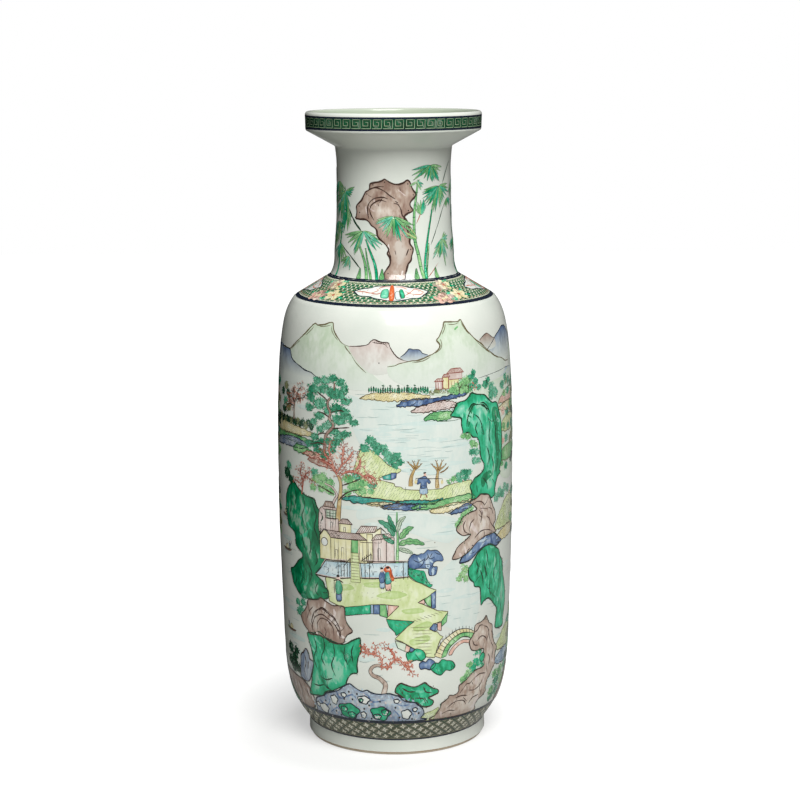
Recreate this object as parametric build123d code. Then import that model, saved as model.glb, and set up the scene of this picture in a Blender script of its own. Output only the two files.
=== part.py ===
from build123d import *
import os
from math import hypot

# A tall porcelain vase with an upright cylindrical body, a sloping shoulder, a straight neck and a
# dish-shaped mouth. It is thrown in six clay sections, luted together with slip, glazed all over
# except the foot rim, and banded with overglaze enamel. Millimetres, +Z up, the origin at the middle
# of the foot rim's resting plane.

# Heights above the resting plane
total_height = 452.0
foot_top = 12.0
body_widest = 190.0
shoulder_edge = 320.5
neck_foot = 336.2
neck_top = 426.4
lip_bottom = 438.6
rim_shoulder = 449.4

# Outer radii of the glazed surface
foot_radius = 64.5
foot_crease_radius = 64.2
body_radius = 84.5
shoulder_edge_radius = 71.8
neck_foot_radius = 45.8
neck_radius = 40.5
neck_top_radius = 41.4
lip_radius = 61.9
rim_radius = 62.2

# Walls and coats
wall = 5.6
neck_wall = 5.2
rim_thickness = 4.4
glaze = 0.4
enamel = 0.2

# Corners of the inside: the dish's floor, the throat, the foot of the neck and the body's floor
dish_floor = 441.0
dish_floor_radius = 56.0
throat_height = 429.8
inner_neck_foot = 332.8
floor_height = 16.5
floor_flat_radius = 46.0
floor_curve = (60.0, 19.6)

# Foot
rim_inner_radius = 54.0
rim_bevel = 1.2
recess_depth = 6.0
glaze_line = 2.2

# Corners that the potter softened
lip_corner = 2.0
crease_corner = 2.2
neck_corner = 1.6
recess_corner = 2.0

# Luting seams between the sections: height, and the slip's thickness in the wall and at its faces
seam_heights = {
    "base_luting_seam": 46.0,
    "waist_luting_seam": 186.0,
    "shoulder_luting_seam": 300.0,
    "neck_luting_seam": 339.0,
    "mouth_luting_seam": 424.0,
}
seam_thickness = 0.9
seam_flare = 2.2
section_names = [
    "base_section",
    "lower_body_section",
    "upper_body_section",
    "shoulder_section",
    "neck_section",
    "mouth_section",
]

# Enamel bands: lowest and highest edge
band_spans = {
    "foot_enamel_band": (10.8, 28.2),
    "shoulder_enamel_band": (321.5, 336.0),
    "lip_enamel_band": (440.0, 449.2),
}

# The body's outline between the foot and the shoulder, radius and height
body_points = [
    (foot_crease_radius, foot_top),
    (71.0, 21.5),
    (76.1, 32.0),
    (79.8, 48.0),
    (82.4, 88.0),
    (83.9, 138.0),
    (body_radius, body_widest),
    (84.1, 240.0),
    (82.8, 272.0),
    (80.5, 296.0),
    (77.4, 310.0),
    (shoulder_edge_radius, shoulder_edge),
]
# The neck's outline, clear of the creases at its ends
neck_points = [
    (44.4, 338.8),
    (42.4, 352.0),
    (41.1, 370.0),
    (neck_radius, 394.0),
    (40.8, 420.6),
]


def unit(a, b):
    """Direction from a to b."""
    length = hypot(b[0] - a[0], b[1] - a[1])
    return (b[0] - a[0]) / length, (b[1] - a[1]) / length


def rounded(before, corner, after, radius):
    """An arc of that radius in a corner, as its two tangent points and its middle."""
    ux, uz = unit(corner, before)
    vx, vz = unit(corner, after)
    cosine = ux * vx + uz * vz
    half_sine = ((1 - cosine) / 2) ** 0.5
    half_cosine = ((1 + cosine) / 2) ** 0.5
    reach = radius * half_cosine / half_sine
    bx, bz = unit((0, 0), (ux + vx, uz + vz))
    middle = radius / half_sine - radius
    return [
        (corner[0] + ux * reach, corner[1] + uz * reach),
        (corner[0] + bx * middle, corner[1] + bz * middle),
        (corner[0] + vx * reach, corner[1] + vz * reach),
    ]


def shifted(pieces, distance):
    """The outline moved sideways, to the right of its direction, with its corners mitred."""
    def arc_direction(ps, m):
        """At an arc's end the direction is its chord mirrored in the line to its middle point."""
        chord = unit(ps[0], ps[2])
        if m == 1:
            return chord
        half = unit(ps[0], ps[1]) if m == 0 else unit(ps[1], ps[2])
        twice = 2 * (half[0] * chord[0] + half[1] * chord[1])
        return twice * half[0] - chord[0], twice * half[1] - chord[1]

    def direction(n, m):
        """The outline's direction at a point of one piece."""
        kind, ps = pieces[n]
        if kind == "arc":
            return arc_direction(ps, m)
        return unit(ps[max(m - 1, 0)], ps[min(m + 1, len(ps) - 1)])

    def moved(n, m):
        """One point, moved along the mitre of the two pieces that meet there."""
        ps = pieces[n][1]
        d = direction(n, m)
        other = d
        if m == 0 and n > 0:
            other = direction(n - 1, len(pieces[n - 1][1]) - 1)
        if m == len(ps) - 1 and n < len(pieces) - 1:
            other = direction(n + 1, 0)
        bisector = unit((0, 0), (d[0] + other[0], d[1] + other[1]))
        reach = distance / (bisector[0] * d[0] + bisector[1] * d[1])
        return ps[m][0] + bisector[1] * reach, ps[m][1] - bisector[0] * reach

    return [(kind, [moved(n, m) for m in range(len(ps))]) for n, (kind, ps) in enumerate(pieces)]


def outer_outline():
    """The glazed outside, from the foot's glaze line up to the top of the rim."""
    shoulder_line = [(shoulder_edge_radius, shoulder_edge), (neck_foot_radius, neck_foot)]
    neck_crease = rounded(shoulder_line[0], shoulder_line[1], neck_points[0], neck_corner)
    lip_foot = (neck_top_radius, neck_top)
    lip_edge = (lip_radius, lip_bottom)
    lip_crease = rounded(neck_points[-1], lip_foot, lip_edge, crease_corner)
    lip_round = rounded(lip_foot, lip_edge, (rim_radius, rim_shoulder), lip_corner)
    return [
        ("line", [(foot_radius, glaze_line), (foot_crease_radius, foot_top)]),
        ("spline", body_points),
        ("line", [shoulder_line[0], neck_crease[0]]),
        ("arc", neck_crease),
        ("spline", [neck_crease[2], *neck_points, lip_crease[0]]),
        ("arc", lip_crease),
        ("line", [lip_crease[2], lip_round[0]]),
        ("arc", lip_round),
        ("line", [lip_round[2], (rim_radius, rim_shoulder)]),
    ]


def rim_outline():
    """The rounded top of the rim."""
    inside = rim_radius - rim_thickness
    middle = (rim_radius + inside) / 2
    return [("arc", [(rim_radius, rim_shoulder), (middle, total_height), (inside, rim_shoulder)])]


def inner_outline():
    """The glazed inside, from the rim down the dish, the neck and the body to the middle of the floor."""
    body = shifted([("spline", body_points)], -wall)[0][1]
    neck = shifted([("spline", neck_points)], -neck_wall)[0][1]
    rim_inside = (rim_radius - rim_thickness, rim_shoulder)
    dish_edge = (dish_floor_radius, dish_floor)
    throat = (neck_top_radius - neck_wall, throat_height)
    dish_round = rounded(rim_inside, dish_edge, throat, lip_corner)
    throat_round = rounded(dish_edge, throat, neck[-1], crease_corner)
    shoulder_inside = body[-1]
    neck_inside = (neck_foot_radius - neck_wall, inner_neck_foot)
    shoulder_round = rounded(neck[0], neck_inside, shoulder_inside, neck_corner)
    return [
        ("line", [rim_inside, dish_round[0]]),
        ("arc", dish_round),
        ("line", [dish_round[2], throat_round[0]]),
        ("arc", throat_round),
        ("spline", [throat_round[2], *reversed(neck[1:]), shoulder_round[0]]),
        ("arc", shoulder_round),
        ("line", [shoulder_round[2], shoulder_inside]),
        ("spline", [*reversed(body[2:]), floor_curve, (floor_flat_radius, floor_height)]),
        ("line", [(floor_flat_radius, floor_height), (0.0, floor_height)]),
    ]


def edges(pieces):
    """The outline as curves, each in the XZ plane."""
    made = []
    for kind, points in pieces:
        spots = [Vector(x, 0, z) for x, z in points]
        if kind == "line":
            made.append(Edge.make_line(*spots))
        elif kind == "arc":
            made.append(Edge.make_three_point_arc(*spots))
        else:
            made.append(Edge.make_spline(spots))
    return made


def turned(pieces):
    """A closed outline in the XZ plane, turned a full circle about the vase's axis."""
    closing = [*pieces, ("line", [pieces[-1][1][-1], pieces[0][1][0]])]
    face = Face(Wire(edges(closing)))
    return Solid.revolve(face, 360, Axis.Z)


def backwards(pieces):
    """The same outline, run the other way."""
    return [(kind, list(reversed(points))) for kind, points in reversed(pieces)]


def joined(*outlines):
    """Outlines one after the other, with straight lines where one ends away from the next."""
    whole = []
    for pieces in outlines:
        if whole and hypot(*(a - b for a, b in zip(whole[-1][1][-1], pieces[0][1][0]))) > 1e-6:
            whole.append(("line", [whole[-1][1][-1], pieces[0][1][0]]))
        whole.extend(pieces)
    return whole


def surface():
    """The whole glazed outline, from the foot's glaze line over the rim to the middle of the floor."""
    return [*outer_outline(), *rim_outline(), *inner_outline()]


def coat():
    """The glaze over the outside, the rim and the inside, as one skin."""
    under = shifted(surface(), -glaze)
    under[-1][1][-1] = (0.0, floor_height - glaze)
    return turned(joined(surface(), backwards(under)))


def underside(height_of_base, recess_radius):
    """From the middle of the base down the recess to the foot rim's inner bevel."""
    top = (recess_radius, height_of_base)
    low = (recess_radius, glaze_line)
    corner = rounded((0.0, height_of_base), top, low, recess_corner)
    return [
        ("line", [(0.0, height_of_base), corner[0]]),
        ("arc", corner),
        ("line", [corner[2], low]),
    ]


def clay():
    """All the clay as one turned shape, before the seams part it."""
    skin = shifted(surface(), -glaze)
    skin[-1][1][-1] = (0.0, floor_height - glaze)
    rim_outside = skin[0][1][0]
    rim_inside = rim_inner_radius + glaze
    foot_rim = [
        ("line", [(rim_inside, glaze_line), (rim_inside + rim_bevel, 0.0)]),
        ("line", [(rim_inside + rim_bevel, 0.0), (rim_outside[0] - rim_bevel, 0.0)]),
    ]
    below = underside(recess_depth + glaze, rim_inner_radius + glaze)
    return turned(joined(skin, below, foot_rim))


def base_glaze():
    """The glaze in the recess under the base."""
    face = underside(recess_depth, rim_inner_radius)
    against = underside(recess_depth + glaze, rim_inner_radius + glaze)
    return turned(joined(face, backwards(against)))


def wall_span(height):
    """Radii of the clay's inner and outer face at that height."""
    probe = Edge.make_line((0, 0, height), (body_radius + wall, 0, height))
    span = probe.intersect(clay_shape)[0].bounding_box()
    return span.min.X, span.max.X


def slip_ring(height):
    """A ring of slip that flares towards both faces of the wall, made long enough to cut right through."""
    inside, outside = wall_span(height)
    middle, overshoot = (inside + outside) / 2, wall
    slope = (seam_flare - seam_thickness) / (outside - inside)
    thin = seam_thickness / 2
    thick = thin + slope * ((outside - inside) / 2 + overshoot)
    below = [
        (inside - overshoot, height - thick),
        (middle, height - thin),
        (outside + overshoot, height - thick),
    ]
    above = [(x, 2 * height - z) for x, z in reversed(below)]
    outline = [*below, *above]
    return turned([("line", [a, b]) for a, b in zip(outline, outline[1:])])


def enamel_skin():
    """A thin coat on the outside, from which the enamel bands are cut."""
    over = shifted(outer_outline(), enamel)
    return turned(joined(outer_outline(), backwards(over)))


def slab(low, high):
    """A disc between two heights, wider than the vase."""
    disc = Solid.make_cylinder(body_radius + wall, high - low)
    return disc.moved(Location((0, 0, low)))


def export(shape, name):
    """Writes one node."""
    shape.label = name
    export_step(shape, os.path.join("parts", name + ".step"))


os.makedirs("parts", exist_ok=True)
clay_shape = clay()
rings = {name: slip_ring(height) for name, height in seam_heights.items()}
sections = clay_shape.cut(*rings.values()).solids()
sections = sorted(sections, key=lambda s: s.bounding_box().min.Z)
for name, section in zip(section_names, sections, strict=True):
    export(section, name)
for name, ring in rings.items():
    export(clay_shape.intersect(ring).solids()[0], name)
export(coat(), "glaze_coat")
export(base_glaze(), "base_glaze")
skin = enamel_skin()
for name, (low, high) in band_spans.items():
    export(skin.intersect(slab(low, high)).solids()[0], name)
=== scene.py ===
# %% [markdown]
# # A porcelain vase with painted enamels
# The vase is thrown in white clay, covered with a faintly green glaze, fired, and then painted with
# coloured glass enamels that are fired again. The clay comes from the CAD model. This script makes
# what the eye sees on it: the glaze as one closed turned surface, and every wash, line and leaf of the
# painting as a thin coat of enamel that really stands on that glaze, a few hundredths of a millimetre.

# %% The frame, and the camera's place
import bpy
import numpy as np
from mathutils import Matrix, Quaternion, Vector
from mathutils.geometry import delaunay_2d_cdt


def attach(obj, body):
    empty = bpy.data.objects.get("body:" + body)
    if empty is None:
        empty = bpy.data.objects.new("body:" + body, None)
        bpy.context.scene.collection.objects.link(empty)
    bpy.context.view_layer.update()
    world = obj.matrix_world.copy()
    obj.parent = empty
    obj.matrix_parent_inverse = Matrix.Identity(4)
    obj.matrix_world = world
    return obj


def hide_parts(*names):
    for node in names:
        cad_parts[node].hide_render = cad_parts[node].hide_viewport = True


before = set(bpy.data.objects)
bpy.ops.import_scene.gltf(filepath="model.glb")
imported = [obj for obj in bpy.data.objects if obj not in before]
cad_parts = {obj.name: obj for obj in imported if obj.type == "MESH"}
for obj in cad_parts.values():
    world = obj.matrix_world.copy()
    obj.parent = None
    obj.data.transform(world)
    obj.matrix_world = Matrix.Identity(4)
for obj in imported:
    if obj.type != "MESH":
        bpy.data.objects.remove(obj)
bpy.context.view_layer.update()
mm = 0.001

# %% [markdown]
# The photograph was taken with a long lens from a little above the mouth, which is why the lips and
# the bands show as flat ellipses that open slowly towards the foot. The distance, height and tilt below
# make those ellipses come out the same. The vase leans a third of a degree in the frame: the camera rolls.

# %% Camera
camera_distance = 1518.97 * mm
camera_height = 527.84 * mm
camera_aside = 3.55 * mm
pitch_down = 10.571
roll = 0.327
lens = 96.8

camera = bpy.data.objects.new("camera", bpy.data.cameras.new("camera"))
bpy.context.scene.collection.objects.link(camera)
bpy.context.scene.camera = camera
camera.data.lens = lens
camera.data.sensor_width = 36.0
camera.data.clip_start = 0.05
camera.location = (camera_aside, -camera_distance, camera_height)
camera.rotation_mode = "QUATERNION"
look = Quaternion((1, 0, 0), np.radians(90 - pitch_down)) @ Quaternion((0, 0, 1), np.radians(-roll))
camera.rotation_quaternion = look

# %% [markdown]
# ## The outline
# A thrown vase is its outline turned about its axis. The outline is made of straight stretches, rounded
# corners, and curves that a thin springy lath would take if it were pinned at a handful of points (a
# natural cubic spline). Heights and radii are those of the CAD model, in millimetres.

# %% Lines, corners and curves
def spaced(points, step):
    """The same line with its points evenly spaced, about one step apart."""
    points = np.asarray(points, float)
    run = np.r_[0, np.cumsum(np.hypot(*np.diff(points, axis=0).T))]
    count = max(int(np.ceil(run[-1] / step)), 1) + 1
    along = np.linspace(0, run[-1], count)
    return np.column_stack([np.interp(along, run, column) for column in points.T])


def lath(points, step):
    """The natural cubic spline through the points. With h the distances between them and d the slopes,
    its second derivatives m solve h0 m0 + 2 (h0 + h1) m1 + h1 m2 = 6 (d1 - d0) and are 0 at the ends."""
    p = np.asarray(points, float)
    h = np.hypot(*np.diff(p, axis=0).T)
    slope = np.diff(p, axis=0) / h[:, None]
    system = np.eye(len(p))
    inner = np.arange(1, len(p) - 1)
    system[inner, inner - 1], system[inner, inner + 1] = h[:-1], h[1:]
    system[inner, inner] = 2 * (h[:-1] + h[1:])
    bend = np.linalg.solve(system, np.pad(6 * np.diff(slope, axis=0), ((1, 1), (0, 0))))
    t = np.linspace(0, 1, 24)[None, :, None]
    h, start, end = h[:, None, None], p[:-1, None], p[1:, None]
    m0, m1 = bend[:-1, None], bend[1:, None]
    curve = start * (1 - t) + end * t - h**2 / 6 * ((t - t**2) * ((2 - t) * m0 + (1 + t) * m1))
    return spaced(curve.reshape(-1, 2), step)


corner_step = 0.5


def corner(before, at, after, radius):
    """A round corner: the arc of that radius that touches the lines from at to before and to after."""
    before, at, after = (np.asarray(p, float) for p in (before, at, after))
    u, v = ((q - at) / np.hypot(*(q - at)) for q in (before, after))
    half = np.arccos(np.clip(u @ v, -1, 1)) / 2
    middle = at + (u + v) / np.hypot(*(u + v)) * radius / np.sin(half)
    first, last = (np.arctan2(*(at + q * radius / np.tan(half) - middle)[::-1]) for q in (u, v))
    sweep = (last - first + np.pi) % (2 * np.pi) - np.pi
    angle = first + sweep * np.linspace(0, 1, int(abs(sweep) * radius / corner_step) + 3)
    return middle + radius * np.column_stack([np.cos(angle), np.sin(angle)])


# %% The outline of the glazed surface, radius and height
rim_top = 452.0
shoulder_edge = (71.8, 320.5)
neck_foot = (45.8, 336.2)
neck_top = (41.4, 426.4)
lip_edge = (61.9, 438.6)
rim_edge = (62.2, 449.4)
foot_wall = [(64.5, 2.2), (64.2, 12.0)]
body = [(64.2, 12.0), (71.0, 21.5), (76.1, 32.0), (79.8, 48.0), (82.4, 88.0), (83.9, 138.0), (84.5, 190.0),
        (84.1, 240.0), (82.8, 272.0), (80.5, 296.0), (77.4, 310.0), (74.2, 317.0), shoulder_edge]
neck = [(44.4, 338.8), (42.4, 352.0), (41.1, 370.0), (40.5, 394.0), (40.8, 420.6)]
rim_half_width = 2.2
dish_floor = (56.0, 441.0)
throat_top = (36.2, 429.8)
throat = [(35.6, 420.6), (35.3, 394.0), (35.9, 370.0), (37.2, 352.0), (39.3, 338.0), (40.9, 332.3)]
inner_wall = [(65.9, 317.9), (69.8, 313.4), (73.1, 305.0), (75.6, 290.0), (78.2, 250.0), (78.9, 190.0),
              (77.8, 120.0), (75.4, 60.0), (72.7, 40.0), (68.6, 29.0), (61.5, 20.6), (46.0, 16.5)]
coat_thickness = 0.2

shoulder_turn = corner(shoulder_edge, neck_foot, neck[0], 1.6)
lip_crease = corner(neck[-1], neck_top, lip_edge, 2.2)
lip_turn = corner(neck_top, lip_edge, rim_edge, 2.0)
outside = np.vstack([
    spaced(foot_wall, 1.2)[:-1],
    lath(body, 2.2)[:-1],
    spaced([shoulder_edge, shoulder_turn[0]], 1.6)[:-1],
    shoulder_turn,
    lath([shoulder_turn[-1], *neck, lip_crease[0]], 2.2)[1:-1],
    lip_crease,
    spaced([lip_crease[-1], lip_turn[0]], 1.8)[1:-1],
    lip_turn,
    spaced([lip_turn[-1], rim_edge], 1.2)[1:],
])
over = np.linspace(0, np.pi, 13)[1:, None]
rim_middle = np.array([rim_edge[0] - rim_half_width, rim_edge[1]])
rim = rim_middle + np.hstack([np.cos(over), np.sin(over)]) * [rim_half_width, rim_top - rim_edge[1]]
dish_turn = corner(rim[-1], dish_floor, throat_top, 2.0)
throat_turn = corner(dish_floor, throat_top, throat[0], 2.2)
whole = np.vstack([
    outside, rim, dish_turn, spaced([dish_turn[-1], throat_turn[0]], 2.2)[1:-1], throat_turn,
    lath(throat, 4.0), lath(inner_wall, 5.0), spaced([inner_wall[-1], (2.0, 16.5)], 5.0)[1:],
])
print(len(outside), "rings outside,", len(whole), "in all")

# %% [markdown]
# ## Where paint goes
# The painter's sheet is the wall itself. A place on it is u, the distance round the wall from the middle
# of the front, and z, the height. The wall isn't perfect: throwing leaves soft rings, drying leaves it a
# little oval, and the mouth has sagged a millimetre or two towards the back in the fire. Glaze and paint
# both go through the same function, so that the paint always lies on the glaze.

# %% From the painter's sheet to the wall
body_around = 84.5
neck_around = 41.0
shoulder_around = 59.0
lip_around = 62.0
foot_around = 70.0
ring_ripple = 0.03
oval = 0.04
mouth_sag = 1.1

tangent = np.gradient(outside, axis=0)
tangent /= np.hypot(*tangent.T)[:, None]


def potters_hand(turn, z):
    """How far the wall stands out or in: throwing rings that wander, and an oval drawn out by drying."""
    rings = np.sin(z / 2.3 + 1.4 * np.sin(turn + z / 60)) + 0.6 * np.sin(z / 5.1 + 2 * np.sin(turn - 1))
    return ring_ripple * rings + oval * np.cos(2 * turn + z / 90) * np.clip(z / 60, 0, 1)


def fired(turn, radius, z):
    """x, y and height after the fire: the radius is turned about the axis, and the mouth sags backwards.
    The sag grows from nothing at the neck's top to its full size at the lip, and is twice it at the back."""
    radius = radius + potters_hand(turn, z) * np.clip((radius - 2) / 20, 0, 1)
    x, y = radius * np.sin(turn), -radius * np.cos(turn)
    grow = np.clip((z - neck_top[1]) / (lip_edge[1] - neck_top[1]), 0, 1)
    sag = mouth_sag * grow * (1 + y / lip_around)
    return np.stack([x, y, z - sag], axis=-1) * mm


def on_wall(u, z, lift, around):
    """Points in metres for places on the painter's sheet. The turn is u / around, in radians, and
    lift is the height of the enamel over the glaze, along the outline's normal, in mm."""
    u, z = np.asarray(u, float), np.asarray(z, float)
    radius, slope_r, slope_z = (np.interp(z, outside[:, 1], column)
                                for column in (outside[:, 0], tangent[:, 0], tangent[:, 1]))
    return fired(u / around, radius - coat_thickness + lift * slope_z, z - lift * slope_r)


# %% Meshes from arrays
def new_mesh(name, points, faces, attributes=None):
    """A mesh object from an array of points in metres and a list of arrays of faces, one per face size."""
    mesh = bpy.data.meshes.new(name)
    faces = [np.asarray(f, np.int32) for f in faces if len(f)]
    mesh.vertices.add(len(points))
    mesh.vertices.foreach_set("co", np.asarray(points, np.float32).ravel())
    corners = np.concatenate([f.ravel() for f in faces])
    sizes = np.concatenate([np.full(len(f), f.shape[1]) for f in faces])
    mesh.loops.add(len(corners))
    mesh.loops.foreach_set("vertex_index", corners.astype(np.int32))
    mesh.polygons.add(len(sizes))
    mesh.polygons.foreach_set("loop_start", (np.cumsum(sizes) - sizes).astype(np.int32))
    mesh.polygons.foreach_set("loop_total", sizes.astype(np.int32))
    mesh.polygons.foreach_set("use_smooth", np.full(len(sizes), True))
    for key, values in (attributes or {}).items():
        mesh.attributes.new(key, "FLOAT", "POINT").data.foreach_set("value", np.asarray(values, np.float32))
    mesh.update(calc_edges=True)
    mesh.validate()
    piece = bpy.data.objects.new(name, mesh)
    bpy.context.scene.collection.objects.link(piece)
    return piece


def grid_faces(rows, columns, round_trip=False):
    """Four-cornered faces of a grid of points, closed round its columns if it goes all the way."""
    across = columns if round_trip else columns - 1
    row, column = np.meshgrid(np.arange(rows - 1), np.arange(across), indexing="ij")
    here, right = row * columns + column, row * columns + (column + 1) % columns
    return np.stack([here, right, right + columns, here + columns], axis=-1).reshape(-1, 4)


# %% [markdown]
# ## Materials
# Colours are written as sRGB hex, as a colour picker shows them, and one function turns them linear.

# %% Colours and nodes
def linear(code):
    """An sRGB hex colour as linear red, green, blue and alpha."""
    srgb = np.array([int(code[k:k + 2], 16) for k in (1, 3, 5)]) / 255
    value = np.where(srgb <= 0.04045, srgb / 12.92, ((srgb + 0.055) / 1.055) ** 2.4)
    return (*value.tolist(), 1.0)


def add(tree, kind, settings=None, **links):
    """One node: settings name its properties, and links name its inputs as values or as outputs."""
    node = tree.nodes.new(kind)
    for key, value in (settings or {}).items():
        setattr(node, key, value)
    for key, value in links.items():
        numbered = key[0] == "n" and key[1:].isdigit()
        socket = node.inputs[int(key[1:]) if numbered else key.replace("_", " ")]
        if isinstance(value, bpy.types.NodeSocket):
            tree.links.new(value, socket)
        else:
            socket.default_value = value
    return node


def glass_coat(name, roughness, ior=1.5):
    """A new material with one Principled shader, set for a fired glass surface."""
    material = bpy.data.materials.new(name)
    material.use_nodes = True
    tree = material.node_tree
    shader = tree.nodes["Principled BSDF"]
    shader.inputs["Roughness"].default_value = roughness
    shader.inputs["IOR"].default_value = ior
    return material, tree, shader


# %% Glaze
# Inside the mouth the glaze is greener, as glaze is where it pools, and darker as painted shade for the
# hollow of the mouth.
pooled_and_shaded_colour = "#A3AE98"
pooled_and_shaded_within = (0.0605, 0.0575)
pooled_and_shaded_above = (0.4385, 0.4405)


def glaze_material():
    """A clear lime glaze over porcelain: white with a little iron in it, so faintly green, and in the mouth
    greener where it gathers and darker as painted shade. Its face is a soft orange peel, with small pits and
    specks."""
    material, tree, shader = glass_coat("porcelain_glaze", 0.14)
    place = add(tree, "ShaderNodeTexCoord").outputs["Object"]
    clouds = add(tree, "ShaderNodeTexNoise", Vector=place, Scale=22.0, Detail=4.0).outputs["Fac"]
    tint = add(tree, "ShaderNodeValToRGB", Fac=clouds)
    for element, position, code in zip(tint.color_ramp.elements, (0.32, 0.68), ("#DAE0D6", "#E7EAE1")):
        element.position, element.color = position, linear(code)
    specks = add(tree, "ShaderNodeTexVoronoi", Vector=place, Scale=110.0)
    near = add(tree, "ShaderNodeMath", {"operation": "LESS_THAN"}, n0=specks.outputs["Distance"], n1=0.045)
    chosen = add(tree, "ShaderNodeSeparateColor", Color=specks.outputs["Color"])
    rare = add(tree, "ShaderNodeMath", {"operation": "GREATER_THAN"}, n0=chosen.outputs["Red"], n1=0.86)
    speck = add(tree, "ShaderNodeMath", {"operation": "MULTIPLY"}, n0=near.outputs[0], n1=rare.outputs[0])
    mixed = add(tree, "ShaderNodeMix", {"data_type": "RGBA"}, Factor=speck.outputs[0])
    split = add(tree, "ShaderNodeSeparateXYZ", Vector=place)
    level = add(tree, "ShaderNodeCombineXYZ", X=split.outputs["X"], Y=split.outputs["Y"]).outputs[0]
    out_from_axis = add(tree, "ShaderNodeVectorMath", {"operation": "LENGTH"}, n0=level).outputs["Value"]
    # The mask for the inside of the mouth, where the colour turns greener and darker: pooled glaze and
    # painted shade.
    inside = add(tree, "ShaderNodeMapRange", Value=out_from_axis, From_Min=pooled_and_shaded_within[0],
                 From_Max=pooled_and_shaded_within[1])
    in_mouth = add(tree, "ShaderNodeMapRange", Value=split.outputs["Z"], From_Min=pooled_and_shaded_above[0],
                   From_Max=pooled_and_shaded_above[1])
    pooled_and_shaded = add(tree, "ShaderNodeMath", {"operation": "MULTIPLY"}, n0=inside.outputs[0],
                 n1=in_mouth.outputs[0])
    deep = add(tree, "ShaderNodeMix", {"data_type": "RGBA"}, Factor=pooled_and_shaded.outputs[0],
               B=linear(pooled_and_shaded_colour))
    tree.links.new(tint.outputs["Color"], deep.inputs["A"])
    tree.links.new(deep.outputs["Result"], mixed.inputs["A"])
    mixed.inputs["B"].default_value = linear("#7A6E5C")
    tree.links.new(mixed.outputs["Result"], shader.inputs["Base Color"])
    peel = add(tree, "ShaderNodeTexNoise", Vector=place, Scale=240.0, Detail=2.0).outputs["Fac"]
    bump = add(tree, "ShaderNodeBump", Strength=0.05, Distance=0.0003, Height=peel)
    tree.links.new(bump.outputs["Normal"], shader.inputs["Normal"])
    return material


# %% The glazed wall
around_count = 256
sunk_rings = 20
sunk_fade = 10
turns = np.linspace(0, 2 * np.pi, around_count, endpoint=False)
turn_grid, radius_grid = np.meshgrid(turns, whole[:, 0])
height_grid = np.repeat(whole[:, 1][:, None], around_count, axis=1)
wall_run = np.gradient(whole, axis=0)
wall_run /= np.hypot(*wall_run.T)[:, None]
rings_left = len(outside) + sunk_rings - np.arange(len(whole))
sunk = coat_thickness * np.clip(rings_left / sunk_fade, 0, 1)[:, None]
glaze_points = fired(turn_grid, radius_grid - sunk * wall_run[:, 1:],
                     height_grid + sunk * wall_run[:, :1]).reshape(-1, 3)
floor_middle = np.array([[0, 0, whole[-1, 1] * mm]])
last_ring = (len(whole) - 1) * around_count
ring = last_ring + np.arange(around_count)
fan = np.stack([ring, np.roll(ring, -1), np.full(around_count, len(glaze_points))], axis=-1)
glaze = new_mesh("glaze", np.vstack([glaze_points, floor_middle]),
                 [grid_faces(len(whole), around_count, round_trip=True), fan])
glaze.data.materials.append(glaze_material())
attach(glaze, "root")
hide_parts("glaze_coat", "mouth_section")
print("glaze faces", len(glaze.data.polygons))

# %% [markdown]
# ## Brushwork
# Enamel painting is three gestures. A wash is a flooded area of coloured glass inside an outline. A line
# is a loaded brush drawn along a path, thick where it was pressed. A dab is one touch of the brush, for a
# leaf, a blossom or a dot of moss. Each is worked out flat on the painter's sheet, laid on the wall at
# the height of its layer, and kept with the others of its colour, so that one colour becomes one piece.

# %% The painter's sheet
first_lift = 0.05
layer_step = 0.03
sheet = {"u": 0.0, "z": 0.0, "size": 1.0, "rise": 1.0, "mirror": 1, "around": body_around, "over": 0.0}
coats = {}


def marks(text):
    """Places written as u,z pairs, as an array."""
    if not isinstance(text, str):
        return np.asarray(text, float)
    return np.array([pair.split(",") for pair in text.split()], float)


def dice(*numbers):
    """Random numbers that belong to a place, so that a change in one motif leaves the others alone."""
    return np.random.default_rng([int(abs(n) * 100) for n in numbers])


def lay(enamel, flat, faces, layer, strength=1.0, edge=0.6):
    """Lays flat places on the wall as one more coat of that enamel: faces index the places, strength
    thins the colour, and edge runs from 0 at the outline of the wash to 1 in its middle."""
    flat, faces = np.asarray(flat, float), np.asarray(faces, np.int64)
    u = sheet["u"] + sheet["mirror"] * sheet["size"] * flat[:, 0]
    z = sheet["z"] + sheet["size"] * sheet["rise"] * flat[:, 1]
    a, b, c = (np.column_stack([u, z])[faces[:, k]] for k in (0, 1, 2))
    turn = (b - a)[:, 0] * (c - a)[:, 1] - (b - a)[:, 1] * (c - a)[:, 0]
    faces = np.where((turn < 0)[:, None], faces[:, ::-1], faces)
    lift = first_lift + layer_step * (layer + sheet["over"])
    whole_coat = np.ones(len(flat))
    coats.setdefault(enamel, []).append(
        (on_wall(u, z, lift, sheet["around"]), faces, strength * whole_coat, edge * whole_coat))


# %% Outlines
def through(points, step, closed):
    """A Catmull-Rom curve, which bends more tightly at the points than a lath does. Between p1 and p2 it is
    half of 2 p1 + (p2 - p0) t + (2 p0 - 5 p1 + 4 p2 - p3) t^2 + (3 p1 - p0 - 3 p2 + p3) t^3."""
    p = np.asarray(points, float)
    p = np.vstack([p[-1], p, p[:2]]) if closed else np.vstack([2 * p[0] - p[1], p, 2 * p[-1] - p[-2]])
    a, b, c, d = (q[:, None] for q in (p[:-3], p[1:-2], p[2:-1], p[3:]))
    t = np.linspace(0, 1, 9)[None, :, None]
    curve = 0.5 * (2 * b + (c - a) * t + (2 * a - 5 * b + 4 * c - d) * t**2 + (3 * b - a - 3 * c + d) * t**3)
    return spaced(curve.reshape(-1, 2), step)


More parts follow.
